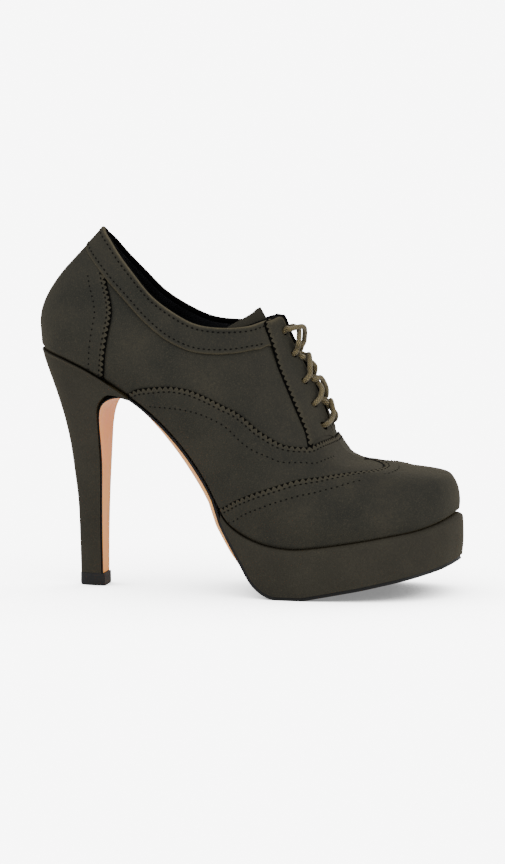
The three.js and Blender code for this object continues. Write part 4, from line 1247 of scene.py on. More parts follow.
@dataclass
class Upper:
    """The upper: quarters, their lining and the panels sewn on them."""

    last: Last
    finishes: Finishes
    leather: float = 1.1
    wing_leather: float = 1.7
    wing_slope: float = 9.0      # how far from its edge the wing cap comes down on the bare last
    band_leather: float = 1.42
    band_hollow: float = 0.14    # how far the band sinks between its folded edges
    lining_from: float = -1.15
    lining_depth: float = 2.0
    vamp_overlap: float = 3.0
    band_slant: float = 1.1

    def top_line(self) -> np.ndarray:
        """Returns the topline from the back seam to the throat, as (row, share)."""
        return np.linspace((0, 1), (THROAT_ROW, 1), 200)

    def _feather(self, start: float, end: float) -> np.ndarray:
        """Returns the feather edge between two rows."""
        return np.linspace((start, 0), (end, 0), 160)

    def _ridge(self, start: float, end: float) -> np.ndarray:
        """Returns the ridge of the vamp between two rows."""
        return np.linspace((start, 1), (end, 1), 80)

    def _upright(self, row: float, low: float, high: float) -> np.ndarray:
        """Returns the line of one row between two shares."""
        return np.linspace((row, low), (row, high), 40)

    def _whole(self, name: str, top: float, base: float) -> Panel:
        """Draws a panel that covers the whole side, with its eyelet holes.

        Args:
            name: the piece's name.
            top: height of its outer face off the last.
            base: height of its inner face.

        Returns:
            The panel.
        """
        outline = [(self._feather(0, LAST_ROW), Cut.RAW), (self._upright(LAST_ROW, 0, 1), Cut.RAW),
                   (self._ridge(LAST_ROW, THROAT_ROW), Cut.RAW), (self.top_line()[::-1], Cut.RAW),
                   (self._upright(0, 1, 0), Cut.RAW)]
        return Panel(self.last, name, outline, level(top), base, holes=EYELETS, spacing=1.7)

    def quarters(self) -> None:
        """Makes the quarters and the vamp's ground as one skin, and the lining inside it."""
        skin = self._whole("quarters", 0.0, -self.leather)
        dress(skin.build(), [self.finishes.nubuck, self.finishes.ink], ["upper"])
        lining = self._whole("lining", self.lining_from, -self.lining_depth)
        dress(lining.build(), [self.finishes.lining] * 2, ["upper"])

    def _swept(self, name: str, row: np.ndarray, share: np.ndarray, off: np.ndarray,
               wear_and_painted_light: np.ndarray) -> bpy.types.Object:
        """Makes a strip from closed loops, joined at the back seam.

        Args:
            name: the piece's name.
            row: section row of each point, loops by points.
            share: share of the section of each point.
            off: distance of each point outwards from the last.
            wear_and_painted_light: of each point, from -1, painted shade, to 1, a pale edge that is partly
                wear and partly painted highlight.

        Returns:
            The new object.
        """
        vertices, faces = [], []
        loops, count = share.shape
        for side in BOTH_SIDES:
            relief = self.last.relief(row, np.clip(share, 0, 1), side)
            start = len(vertices) * loops * count
            vertices.append(self.last.place(row, share, side, off + relief).reshape(-1, 3))
            faces += grid_faces(loops, count, start=start, loop=True)
            faces.append(tuple(start + (loops - 1) * count + j for j in range(count)))
        return make_mesh(name, np.concatenate(vertices), faces, 60, wear_and_painted_light=np.tile(wear_and_painted_light.ravel(), 2))

    def collar_band(self) -> None:
        """Makes the folded band round the topline, whose ends go under the facings."""
        edge = spline(np.array(BAND_EDGE), 10)
        rows = self.last.resample(edge, 1.2)[:, 0]
        low = np.interp(rows, edge[:, 0], edge[:, 1])
        height = np.interp(rows, self.last.chart_rows, self.last.chart_height)
        loops = [(low + down / height, off) for down, off in BAND_FOLD]
        for v in np.linspace(0.12, 0.88, 9):
            loops.append((lerp(low, 1, v), self.band_leather - self.band_hollow * math.sin(math.pi * v)))
        loops += [(1 + up / height, off) for up, off in BAND_RIM]
        share = np.stack([line for line, _ in loops], axis=1)
        # The ends are pared thin and slant back, where the facings cover them.
        thin = 1 - 0.3 * ease((rows - 9.6) / 1.2)
        off = np.array([line_off for _, line_off in loops]) * thin[:, None]
        upward = np.clip((share - low[:, None]) / (1 - low[:, None]), 0, 1)
        row = rows[:, None] - self.band_slant * ease((rows - 8) / 3.3)[:, None] * upward
        wear_and_painted_light = np.zeros_like(share)
        wear_and_painted_light[:, 2:2 + len(FOLD_WEAR_AND_HIGHLIGHT)] = FOLD_WEAR_AND_HIGHLIGHT
        rim = len(loops) - len(BAND_RIM) + 1
        wear_and_painted_light[:, rim:rim + len(RIM_WEAR_AND_HIGHLIGHT)] = RIM_WEAR_AND_HIGHLIGHT
        dress(self._swept("collar_band_folded", row, share, off, wear_and_painted_light), [self.finishes.nubuck],
              ["collar_band"])

    def topline_roll(self) -> None:
        """Makes the lining's edge, rolled over the topline and down both sides of the lacing gap."""
        rows = self.last.resample(self.top_line(), 1.3)[:, 0]
        height = np.interp(rows, self.last.chart_rows, self.last.chart_height)
        share = np.stack([1 + up / height for up, _ in LINING_ROLL], axis=1)
        off = np.broadcast_to(np.array([off for _, off in LINING_ROLL]), share.shape)
        roll = self._swept("lining_roll", np.broadcast_to(rows[:, None], share.shape), share, off,
                           np.zeros_like(share))
        dress(roll, [self.finishes.ink], ["upper"])

    def heel_counter(self) -> None:
        """Makes the counter round the heel, with its pinked front edges."""
        front = self.last.curve(COUNTER_EDGE)
        band = spline(np.array(BAND_EDGE), 10)
        band = band[band[:, 0] < front[-1, 0]] + [0, 0.01]
        top = np.concatenate([[front[-1]], band[::-1]])
        top[-1, 0] = 0
        outline = [(self._feather(0, front[0, 0]), Cut.RAW), (front, Cut.SAWN), (top, Cut.RAW),
                   (self._upright(0, top[-1, 1], 0), Cut.RAW)]
        panel = Panel(self.last, "heel_counter_pinked", outline, level(self.leather))
        self._dress_panel(panel, "heel_counter")

    def _dress_panel(self, panel: Panel, node: str) -> None:
        """Builds a panel and gives it nubuck with inked cut edges."""
        dress(panel.build(), [self.finishes.nubuck, self.finishes.ink], [node])

    def facings(self) -> None:
        """Makes the two facings, which lie over the band and under the vamp."""
        back = self.last.curve(FACING_EDGE)
        foot = np.linspace(back[-1], (THROAT_ROW, 1), 30)
        outline = [(back, Cut.SAWN), (foot, Cut.RAW), (self._ridge(THROAT_ROW, back[0, 0]), Cut.FOLDED)]

        def top(row: np.ndarray, share: np.ndarray) -> np.ndarray:
            """Raises the facing where it lies on the band, and thins it where it goes under the vamp."""
            over_band = 0.85 * ease((11.9 - row) / 0.7) * ease((share - 0.79) / 0.03)
            return self.leather + over_band - 0.5 * ease((row - 13.2) / 0.9)

        for side, name in ((OUTER, "facing_outer"), (INNER, "facing_inner")):
            panel = Panel(self.last, f"{name}_punched", outline, top, holes=EYELETS, sides=(side,),
                          spacing=FACING_SPACING)
            self._dress_panel(panel, name)

    def vamp(self) -> None:
        """Makes the vamp, which runs back along the arch and goes under the wing cap."""
        back = self.last.curve(VAMP_EDGE)
        front = self.last.shift(self.last.curve(WING_EDGE), -self.vamp_overlap)
        front = np.concatenate([[[front[0, 0], 0]], front[1:-1], [[front[-1, 0], 1]]])
        outline = [(back, Cut.NOTCHED), (self._ridge(THROAT_ROW, front[-1, 0]), Cut.RAW),
                   (front[::-1], Cut.RAW), (self._feather(front[0, 0], back[0, 0]), Cut.RAW)]

        def top(row: np.ndarray, share: np.ndarray) -> np.ndarray:
            """Raises the vamp a little where it lies on the facings."""
            return self.leather + vamp_rise(row, share)

        self._dress_panel(Panel(self.last, "vamp_pinked", outline, top), "vamp")

    def wing_cap(self) -> None:
        """Makes the wing cap over the toe, with its peak on the ridge."""
        back = self.last.curve(WING_EDGE)
        chart = self.last.chart_path(back)
        tip = int(np.argmax(back[:, 0]))
        outline = [(back[:tip + 1], Cut.NOTCHED), (back[tip:], Cut.SAWN),
                   (self._ridge(back[-1, 0], LAST_ROW), Cut.RAW),
                   (self._upright(LAST_ROW, 1, 0), Cut.RAW),
                   (self._feather(LAST_ROW, back[0, 0]), Cut.RAW)]

        def top(row: np.ndarray, share: np.ndarray) -> np.ndarray:
            """Raises the cap's back edge where it lies on the vamp."""
            far = nearest(np.stack(self.last.to_chart(row, share), axis=1), chart)
            over = ease((self.vamp_overlap + self.wing_slope - far) / self.wing_slope)
            return lerp(self.leather, self.wing_leather, over)

        self._dress_panel(Panel(self.last, "wing_cap_pinked", outline, top), "wing_cap")

    def build(self) -> None:
        """Makes every piece of the upper."""
        self.quarters()
        self.topline_roll()
        self.collar_band()
        self.heel_counter()
        self.facings()
        self.vamp()
        self.wing_cap()


class Punch(Enum):
    """What a row of small marks is made of."""

    STITCH = "stitch"
    PRICK = "prick"


# Sizes of a row in millimetres: from bead to bead, and each bead's own length, width and height.
BEAD_SOCKETS = ("Pitch", "Length", "Width", "Height")
BEADS = {Punch.STITCH: (2.6, 1.3, 0.75, 0.3), Punch.PRICK: (2.7, 1.1, 0.8, 0.25)}


@dataclass
class SeamLines:
    """Rows of stitches and of pricked decoration, laid by Geometry Nodes along the panels' edges."""

    last: Last
    finishes: Finishes
    stitch_in: float = 1.8
    rim_in: float = 2.0
    rim_height: float = 1.44
    counter_in: float = 1.3
    cap_share: float = 0.72      # how much of the wing cap's extra height is left at its decoration
    decor_in: float = 7.0
    band_end: float = 10.7       # rows at which the facings cover the band's two rows of stitches
    rim_end: float = 9.75
    lines: dict[Punch, list] = field(default_factory=lambda: {kind: [] for kind in Punch})

    def tree(self) -> bpy.types.NodeTree:
        """Builds the node tree: a bead at every pitch, turned along the line and up off the leather.

        Returns:
            The tree, with the bead's sizes, the pitch and the material as its named inputs.
        """
        tree = bpy.data.node_groups.new("seam_row", "GeometryNodeTree")
        sockets = tree.interface
        sockets.new_socket("Geometry", in_out="INPUT", socket_type="NodeSocketGeometry")
        for name in BEAD_SOCKETS:
            sockets.new_socket(name, in_out="INPUT", socket_type="NodeSocketFloat")
        sockets.new_socket("Material", in_out="INPUT", socket_type="NodeSocketMaterial")
        sockets.new_socket("Geometry", in_out="OUTPUT", socket_type="NodeSocketGeometry")
        given = add_node(tree, "NodeGroupInput").outputs
        curve = add_node(tree, "GeometryNodeMeshToCurve", {"Mesh": given["Geometry"]})
        spaced = add_node(tree, "GeometryNodeResampleCurve",
                          {"Curve": curve.outputs[0], "Length": given["Pitch"]}, mode="LENGTH")
        up = add_node(tree, "GeometryNodeInputNamedAttribute", {"Name": "up"}, data_type="FLOAT_VECTOR")
        tangent = add_node(tree, "GeometryNodeInputTangent")
        raised = add_node(tree, "FunctionNodeAlignRotationToVector", {"Vector": up.outputs[0]}, axis="Z")
        turned = add_node(tree, "FunctionNodeAlignRotationToVector",
                          {"Rotation": raised.outputs[0], "Vector": tangent.outputs[0]},
                          axis="X", pivot_axis="Z")
        bead = add_node(tree, "GeometryNodeMeshUVSphere", {"Segments": 8, "Rings": 5, "Radius": 0.5})
        sizes = add_node(tree, "ShaderNodeCombineXYZ",
                         {0: given["Length"], 1: given["Width"], 2: given["Height"]})
        shaped = add_node(tree, "GeometryNodeTransform",
                          {"Geometry": bead.outputs[0], "Scale": sizes.outputs[0]})
        laid = add_node(tree, "GeometryNodeInstanceOnPoints",
                        {"Points": spaced.outputs[0], "Instance": shaped.outputs[0],
                         "Rotation": turned.outputs[0]})
        real = add_node(tree, "GeometryNodeRealizeInstances", {0: laid.outputs[0]})
        smooth = add_node(tree, "GeometryNodeSetShadeSmooth", {0: real.outputs[0]})
        painted = add_node(tree, "GeometryNodeSetMaterial",
                           {"Geometry": smooth.outputs[0], "Material": given["Material"]})
        add_node(tree, "NodeGroupOutput", {0: painted.outputs[0]})
        return tree

    def add(self, kind: Punch, path: np.ndarray, off: Numbers) -> None:
        """Takes one line on both sides.

        Args:
            kind: what the line is made of.
            path: its points of (row, share).
            off: its height off the last.
        """
        row, share = path.T
        for side in BOTH_SIDES:
            relief = self.last.relief(row, share, side)
            self.lines[kind].append((self.last.place(row, share, side, off + relief),
                                     self.last.normal(row, share, side)))

    def gather(self, leather: float, wing: float, band_face: float) -> None:
        """Takes every line that the shoe has.

        Args:
            leather: height of a single panel's face off the last.
            wing: height of the wing cap's face near its edge.
            band_face: height of the collar band's face.
        """
        vamp, front = self.last.curve(VAMP_EDGE), self.last.curve(WING_EDGE)
        counter = self.last.curve(COUNTER_EDGE)
        band = self.last.curve(BAND_EDGE)
        band = band[band[:, 0] < self.band_end]
        rim = np.linspace((0.02, 1), (self.rim_end, 1), 160)
        for kind, path in ((Punch.STITCH, self.last.inset(vamp, -self.stitch_in)),
                           (Punch.PRICK, self.last.curve(VAMP_DECOR))):
            self.add(kind, path, leather + vamp_rise(*path.T))
        self.add(Punch.STITCH, self.last.inset(front, -self.stitch_in), wing)
        self.add(Punch.PRICK, self.last.inset(front, -self.decor_in), lerp(leather, wing, self.cap_share))
        self.add(Punch.STITCH, self.last.inset(counter, self.counter_in), leather)
        self.add(Punch.PRICK, self.last.inset(counter, self.decor_in), leather)
        self.add(Punch.STITCH, self.last.inset(band, self.stitch_in), band_face)
        self.add(Punch.STITCH, self.last.inset(self.last.resample(rim, 1.0), -self.rim_in),
                 self.rim_height)

    def _lay(self, kind: Punch, name: str, tree: bpy.types.NodeTree) -> None:
        """Runs the tree along the lines of one kind and keeps the result as a plain mesh.

        Args:
            kind: which lines.
            name: the piece's name.
            tree: the tree that sets the beads.
        """
        mesh = bpy.data.meshes.new(f"{name}_lines")
        points, ups, edges = [], [], []
        for place, up in self.lines[kind]:
            start = len(points)
            points += (place * MM).tolist()
            ups += up.tolist()
            edges += [(start + i, start + i + 1) for i in range(len(place) - 1)]
        mesh.from_pydata(points, edges, [])
        layer = mesh.attributes.new("up", "FLOAT_VECTOR", "POINT")
        layer.data.foreach_set("vector", np.array(ups).ravel())
        guide = add_object(f"{name}_guide", mesh)
        modifier = guide.modifiers.new("row", "NODES")
        modifier.node_group = tree
        sizes = zip(BEAD_SOCKETS, BEADS[kind])
        values = {"Material": self.finishes.thread, **{socket: size * MM for socket, size in sizes}}
        for item in tree.interface.items_tree:
            if item.in_out == "INPUT" and item.name in values:
                modifier[item.identifier] = values[item.name]
        depsgraph = bpy.context.evaluated_depsgraph_get()
        laid = bpy.data.meshes.new_from_object(guide.evaluated_get(depsgraph))
        bpy.data.objects.remove(guide)
        dress(add_object(name, laid), [self.finishes.thread])

    def build(self) -> None:
        """Makes the stitches and the pricked decoration."""
        tree = self.tree()
        self._lay(Punch.STITCH, "stitches", tree)
        self._lay(Punch.PRICK, "decor_pricks", tree)


# Pieces inside the upper.

# Section rows that the tongue follows, and the shares of its points from its edge to the middle.
TONGUE_ROWS = (15.5, 14.9, 14.2, 13.4, 12.6, 11.9)
TONGUE_SHARES = np.array([0.80, 0.86, 0.92, 0.97, 1])
# Free rows of the tongue: how far back and up they stand, the same at the corners, and how narrow.
TONGUE_TOP = ((9.2, 7.0, 14.6, 9.2, 0.99), (14.4, 15.0, 25.4, 19.5, 0.96))


@dataclass
class Inside:
    """Tongue and insole."""

    last: Last
    finishes: Finishes
    tongue_depth: float = 3.1
    tongue_thick: float = 1.7
    tongue_crown: float = 0.8    # how far its middle stands up into the lacing gap
    tongue_curl: float = 0.045   # how far its sides turn in, by their distance from the middle
    insole_in: float = 2.3       # clearance to the outer face of the upper
    insole_thick: float = 2.4
    insole_dish: float = 0.6

    def insole(self) -> None:
        """Makes the insole, with the slight dish that a foot bed has."""
        rows = np.concatenate([[0.2, 0.5], np.linspace(1, 21, 90), [21.4, 21.7]])
        across = np.linspace(0, 1, 15)
        grid = bridge(*self.last.both(rows, 0, -self.insole_in), across)
        up = grid.copy()
        up[..., 2] += self.insole_thick - self.insole_dish * np.sin(math.pi * across)
        piece = plate_mesh("insole_covered", up, grid)
        dress(piece, [self.finishes.lining] * 2, ["insole"])

    def _tongue_grid(self) -> np.ndarray:
        """Finds the tongue's outer face.

        Returns:
            Its points: rows that follow the last, then two that stand free.
        """
        lines = []
        for row in TONGUE_ROWS:
            left, right = self.last.both(row, TONGUE_SHARES, -self.tongue_depth)
            middle = (left[-1] + right[-1]) / 2
            if row >= THROAT_ROW:
                lines.append(np.vstack([left[:-1], (left[-2] + middle) / 2, middle,
                                        (right[-2] + middle) / 2, right[-2::-1]]))
                continue
            ahead = self.last.normal(row, 1, INNER) * [1, 0, 1]
            lines.append(np.vstack([left, middle + self.tongue_crown * unit(ahead), right[::-1]]))
        top = lines[-1]
        wing = np.minimum(1, np.abs(top[:, 1] / top[0, 1]))
        for back, up, wing_back, wing_up, narrow in TONGUE_TOP:
            free = top * [1, narrow, 1]
            free[:, 0] -= lerp(back, wing_back, wing)
            free[:, 2] += lerp(up, wing_up, wing)
            lines.append(free)
        return np.stack(lines)

    def tongue(self) -> None:
        """Makes the tongue with its wide pointed corners."""
        face = self._tongue_grid()
        face = spline(np.swapaxes(spline(face, 5), 0, 1), 4).swapaxes(0, 1)
        middle = face[:, face.shape[1] // 2, 1]
        inwards = (middle[:, None] - face[..., 1]) * self.tongue_curl
        behind = [np.full_like(inwards, -0.85), inwards, np.full_like(inwards, -0.5)]
        back = face + self.tongue_thick * np.stack(behind, axis=-1)
        piece = plate_mesh("tongue_nubuck", face, back)
        round_edges(piece, 0.5)
        dress(piece, [self.finishes.covered, self.finishes.nubuck], ["tongue"])

    def build(self) -> None:
        """Makes both pieces."""
        self.insole()
        self.tongue()


# Bottom of the shoe.

SOLE_LINE = ((-37.0, 41.4), (-33.5, 33.6), (-27.6, 23.6), (-22.3, 14.8), (-19.4, 9.9), (-16.4, 6.0),
             (-12.2, 2.6), (-8.0, 0.7), (-4.0, 0), (7.0, 0), (17.1, 1.8), (26.8, 3.7), (36.3, 5.6),
             (45.6, 7.7), (54.6, 9.7), (63.1, 11.9), (71.2, 14.3), (77.3, 17.0), (80.0, 18.6))
# Wall of the platform: share of its height from the top down, and how far it stands out.
PLATFORM_WALL = ((-0.02, 0.4), (0, 1.7), (0.04, 2.7), (0.10, 3.15), (0.35, 3.4), (0.7, 3.4), (1, 2.8))
# Breast flap, from the top lift up: along, up, and half its width.
BREAST = ((-95.0, 6.2, 6.5), (-95.1, 22.4, 7.3), (-94.9, 41.7, 8.5), (-94.5, 58.0, 10.0),
          (-94.5, 68.5, 12.3), (-94.6, 75.8, 14.6), (-94.2, 82.2, 17.4), (-93.0, 86.6, 20.0),
          (-90.8, 89.4, 21.8), (-87.5, 91.2, 22.8), (-83.6, 91.9, 23.2))
# Rings of the heel: along and up at the back, along and up at the front, and half the width.
HEEL_RINGS = ((-107.4, 6.1, -96.5, 6.1, 6.3), (-107.8, 22, -96.7, 22, 7.1), (-108.5, 40, -96.5, 40, 8.2),
              (-110.1, 54, -96.2, 52, 9.3), (-112, 68, -96.1, 62, 11), (-114.4, 79.6, -96.1, 70, 13.4),
              (-117.3, 90.2, -96, 77, 16.2), (-120.3, 99.8, -95.7, 83, 19.4),
              (-122.5, 106.2, -94.9, 87.8, 21.6), (-123.7, 109.8, -92.2, 91.8, 23),
              (-124.4, 112.2, -88.1, 93.6, 23.8))
# The seat's rounded edge: how far each ring draws in, as a share, and up.
HEEL_SEAT = ((0.012, 0.35), (0.045, 0.6))


def rows_to_toe(start: float, along: int, round_toe: int) -> np.ndarray:
    """Returns rows from start to the toe, with so many along the foot and round the toe."""
    return np.concatenate([np.linspace(start, 21, along), np.linspace(21.1, LAST_ROW, round_toe)])


@dataclass
class Bottom:
    """Platform, outsole, heel and top lift."""

    last: Last
    finishes: Finishes
    outsole_thick: float = 1.0
    flap_share: float = 0.55     # how much of that is left where the breast flap is pared
    forepart_thick: float = 1.5
    lift_height: float = 5.8
    lift_break: float = 0.25     # how far the lift's top edge is broken
    platform_start: float = 10.25
    wedge_rows: float = 3.0
    outsole_out: float = 2.3
    arch_crown: float = 6.6      # how far the underside bellies down between its edges
    arch_points: int = 40
    across_points: int = 13
    seat_fill: float = 1.8       # what fills the corner between heel seat and arch on the inner side
    seat_x: float = -79.5
    seat_width: float = 4.0
    heel_points: int = 22
    heel_square: float = 0.55    # below 1 the heel's round back is fuller than an ellipse

    def _sole_line(self, x: np.ndarray) -> np.ndarray:
        """Returns the height of the sole's underside, a smooth curve through its table."""
        line = spline(np.array(SOLE_LINE), 8)
        return np.interp(x, line[:, 0], np.maximum(0, line[:, 1]))

    def platform(self) -> None:
        """Makes the covered platform, a wedge at the arch and a full wall round the toe."""
        rows = rows_to_toe(self.platform_start, 100, 10)
        swell = np.minimum(1, (rows - self.platform_start) / self.wedge_rows)
        profile = spline(np.array(PLATFORM_WALL), 4)
        walls = []
        for side in BOTH_SIDES:
            foot = self.last.place(rows, 0, side)
            levels = []
            for down, out in profile:
                edge = self.last.place(rows, 0, side, lerp(1.2, out, swell))
                slope = (self._sole_line(edge[:, 0] + 1) - self._sole_line(edge[:, 0] - 1)) / 2
                low = self._sole_line(edge[:, 0]) + (self.forepart_thick + 0.1) * np.hypot(1, slope)
                edge[:, 2] = lerp(foot[:, 2] - 0.1, low, down)
                levels.append(edge)
            walls.append(np.stack(levels, axis=1))
        left, right = walls
        over, under = (bridge(left[:, k], right[:, k], (0.75, 0.5, 0.25)) for k in (0, -1))
        rings = np.concatenate([right, under, left[:, ::-1], over[:, ::-1]], axis=1)
        # Painted shade: the wall's top, under the overhanging upper, darkens towards the shade colour, and
        # the top face under the upper is fully dark.
        dark = np.interp(profile[:, 1], [0.4, 1.6], [-1, 0])
        wear_and_painted_light = np.concatenate([dark, np.zeros(3), dark[::-1], np.full(3, -1)])
        piece = ring_mesh("platform_covered", rings, 60, np.tile(wear_and_painted_light, len(rings)))
        dress(piece, [self.finishes.covered], ["platform"])

    @property
    def across(self) -> np.ndarray:
        """Returns places across the sole, from -1 on the outer side to 1 on the inner."""
        return np.linspace(-1, 1, self.across_points)

    def _flap(self) -> np.ndarray:
        """Returns the grid of the breast flap's face, down the front of the heel."""
        along, up, half = spline(np.array(BREAST), 4).T[..., None]
        return np.stack(np.broadcast_arrays(along, half * self.across, up), axis=-1)

    def _arch(self) -> np.ndarray:
        """Finds the outsole's underside along the arch.

        Returns:
            The grid of its points, from the heel seat forward.
        """
        rows = np.linspace(5.55, 9.6, self.arch_points)
        before, after = (self.last.place(rows + step, 0, OUTER) for step in (-0.1, 0.1))
        ahead = after - before
        down = unit(np.stack([ahead[:, 2], np.zeros_like(rows), -ahead[:, 0]], axis=1))
        left, right = (edge + down * (0.1 + self.outsole_thick) for edge in self.last.both(rows, 0, 0.7))
        arch = bridge(left, right, (self.across + 1) / 2)
        crown = self.arch_crown * np.sqrt(np.sin(math.pi / 2 * np.linspace(0, 1, self.arch_points)))
        return arch + down[:, None] * (crown[:, None] * (1 - self.across ** 2))[..., None]

    def _forepart(self) -> np.ndarray:
        """Finds the outsole's underside under the platform.

        Returns:
            The grid of its points, from the arch to the toe.
        """
        rows = rows_to_toe(10.05, 110, 9)
        out = lerp(0.8, self.outsole_out, np.minimum(1, (rows - 10) / self.wedge_rows))
        fore = bridge(*self.last.both(rows, 0, out), (self.across + 1) / 2)
        fore[..., 2] = self._sole_line(fore[..., 0])
        steep = self._sole_line(fore[..., 0] - 1) - self._sole_line(fore[..., 0] + 1)
        # The arch's crown runs out before the ball, where the sole comes down to the ground.
        crown = self.arch_crown * ease(fore[..., 2] / 24) * ease((15 - rows) / 2)[:, None]
        upward = unit(np.stack([steep / 2, np.zeros_like(steep), np.ones_like(steep)], axis=-1))
        return fore - (crown * (1 - self.across ** 2))[..., None] * upward

    def outsole(self) -> None:
        """Makes the outsole from the breast flap along the arch to the toe."""
        parts = (self._flap(), self._arch(), self._forepart())
        part = np.repeat([0, 1, 2], [len(points) for points in parts])
        thick = np.where(part == 2, self.forepart_thick, self.outsole_thick)
        pared = self.outsole_thick * (1 - self.flap_share) * (part == 0)
        grid = np.concatenate(parts)
        middle = grid[:, self.across_points // 2]
        ahead = unit(np.gradient(middle, axis=0) * [1, 0, 1])
        inwards = np.stack([-ahead[:, 2], np.zeros(len(ahead)), ahead[:, 0]], axis=1)
        grid = grid + (inwards * pared[:, None])[:, None]
        seat = self.seat_fill * np.exp(-((middle[:, 0] - self.seat_x) / self.seat_width) ** 2)
        depth = (thick - pared)[:, None] + seat[:, None] * ease(self.across)
        piece = plate_mesh("outsole_edged", grid, grid + inwards[:, None] * depth[..., None])
        round_edges(piece, 0.3)
        dress(piece, [self.finishes.sole, self.finishes.paint], ["outsole"])

    def _heel_ring(self, back_x: float, back_z: float, front_x: float, front_z: float, half: float,
                   arch: float = 0.0) -> np.ndarray:
        """Draws one ring of the heel, flat across its front and round behind.

        Args:
            back_x: place of its back, in millimetres.
            back_z: height of its back.
            front_x: place of its front.
            front_z: height of its front.
            half: half its width.
            arch: how far it rises between front and back.

        Returns:
            The ring's points.
        """
        q = np.linspace(0, math.pi / 2, self.heel_points + 1)
        share = np.sin(q)
        width = half * np.cos(q) ** self.heel_square
        width[-1] = 0
        x, z = lerp(front_x, back_x, share), lerp(front_z, back_z, share) + arch * np.sin(share * math.pi)
        outer = np.stack([x, -width, z], axis=1)
        inner = np.stack([x, width, z], axis=1)
        return np.concatenate([outer, inner[::-1][1:]])

    def heel(self) -> None:
        """Makes the slender covered heel up to its seat under the upper."""
        rings = [self._heel_ring(*ring, max(0, i - 7) * 0.9) for i, ring in enumerate(HEEL_RINGS)]
        rows = np.linspace(5.5, 0, self.heel_points + 1)
        edges = []
        for side in BOTH_SIDES:
            edge = self.last.place(rows, 0, side, 1.0 + 0.7 * np.exp(-(rows / PADDED_ROWS) ** 2))
            edge[:, 2] = self.last.place(rows, 0, side)[:, 2] - 0.7
            edge[-1, 1] = 0
            edges.append(edge)
        rings.append(np.concatenate([edges[0], edges[1][::-1][1:]]))
        rings = spline(np.stack(rings), 5)
        rounded = [rings[-1] + (rings[-1].mean(axis=0) - rings[-1]) * draw * [1, 1, 0] + [0, 0, up]
                   for draw, up in HEEL_SEAT]
        wear_and_painted_light = np.zeros((len(rings) + len(HEEL_SEAT), rings.shape[1]))
        # Painted shade where the seat goes under the upper.
        wear_and_painted_light[-2:] = [[-0.5], [-1]]   # dark where the seat goes under the upper
        piece = ring_mesh("heel_covered", np.concatenate([rings, rounded]), 50, wear_and_painted_light.ravel())
        dress(piece, [self.finishes.covered], ["heel"])

    def top_lift(self) -> None:
        """Makes the rubber top lift, with its edges just broken."""
        top = self.lift_height + self.lift_break
        rings = np.stack([self._heel_ring(-107.2, 0, -94.7, 0, 6.3),
                          self._heel_ring(-107.6, 1, -94.6, 1, 6.6),
                          self._heel_ring(-107.6, self.lift_height, -94.7, self.lift_height, 6.6),
                          self._heel_ring(-107.3, top, -95.0, top, 6.3)])
        dress(ring_mesh("top_lift_rubber", rings, 30), [self.finishes.rubber], ["top_lift"])

    def build(self) -> None:
        """Makes the four pieces."""
        self.platform()
        self.outsole()
        self.heel()
        self.top_lift()


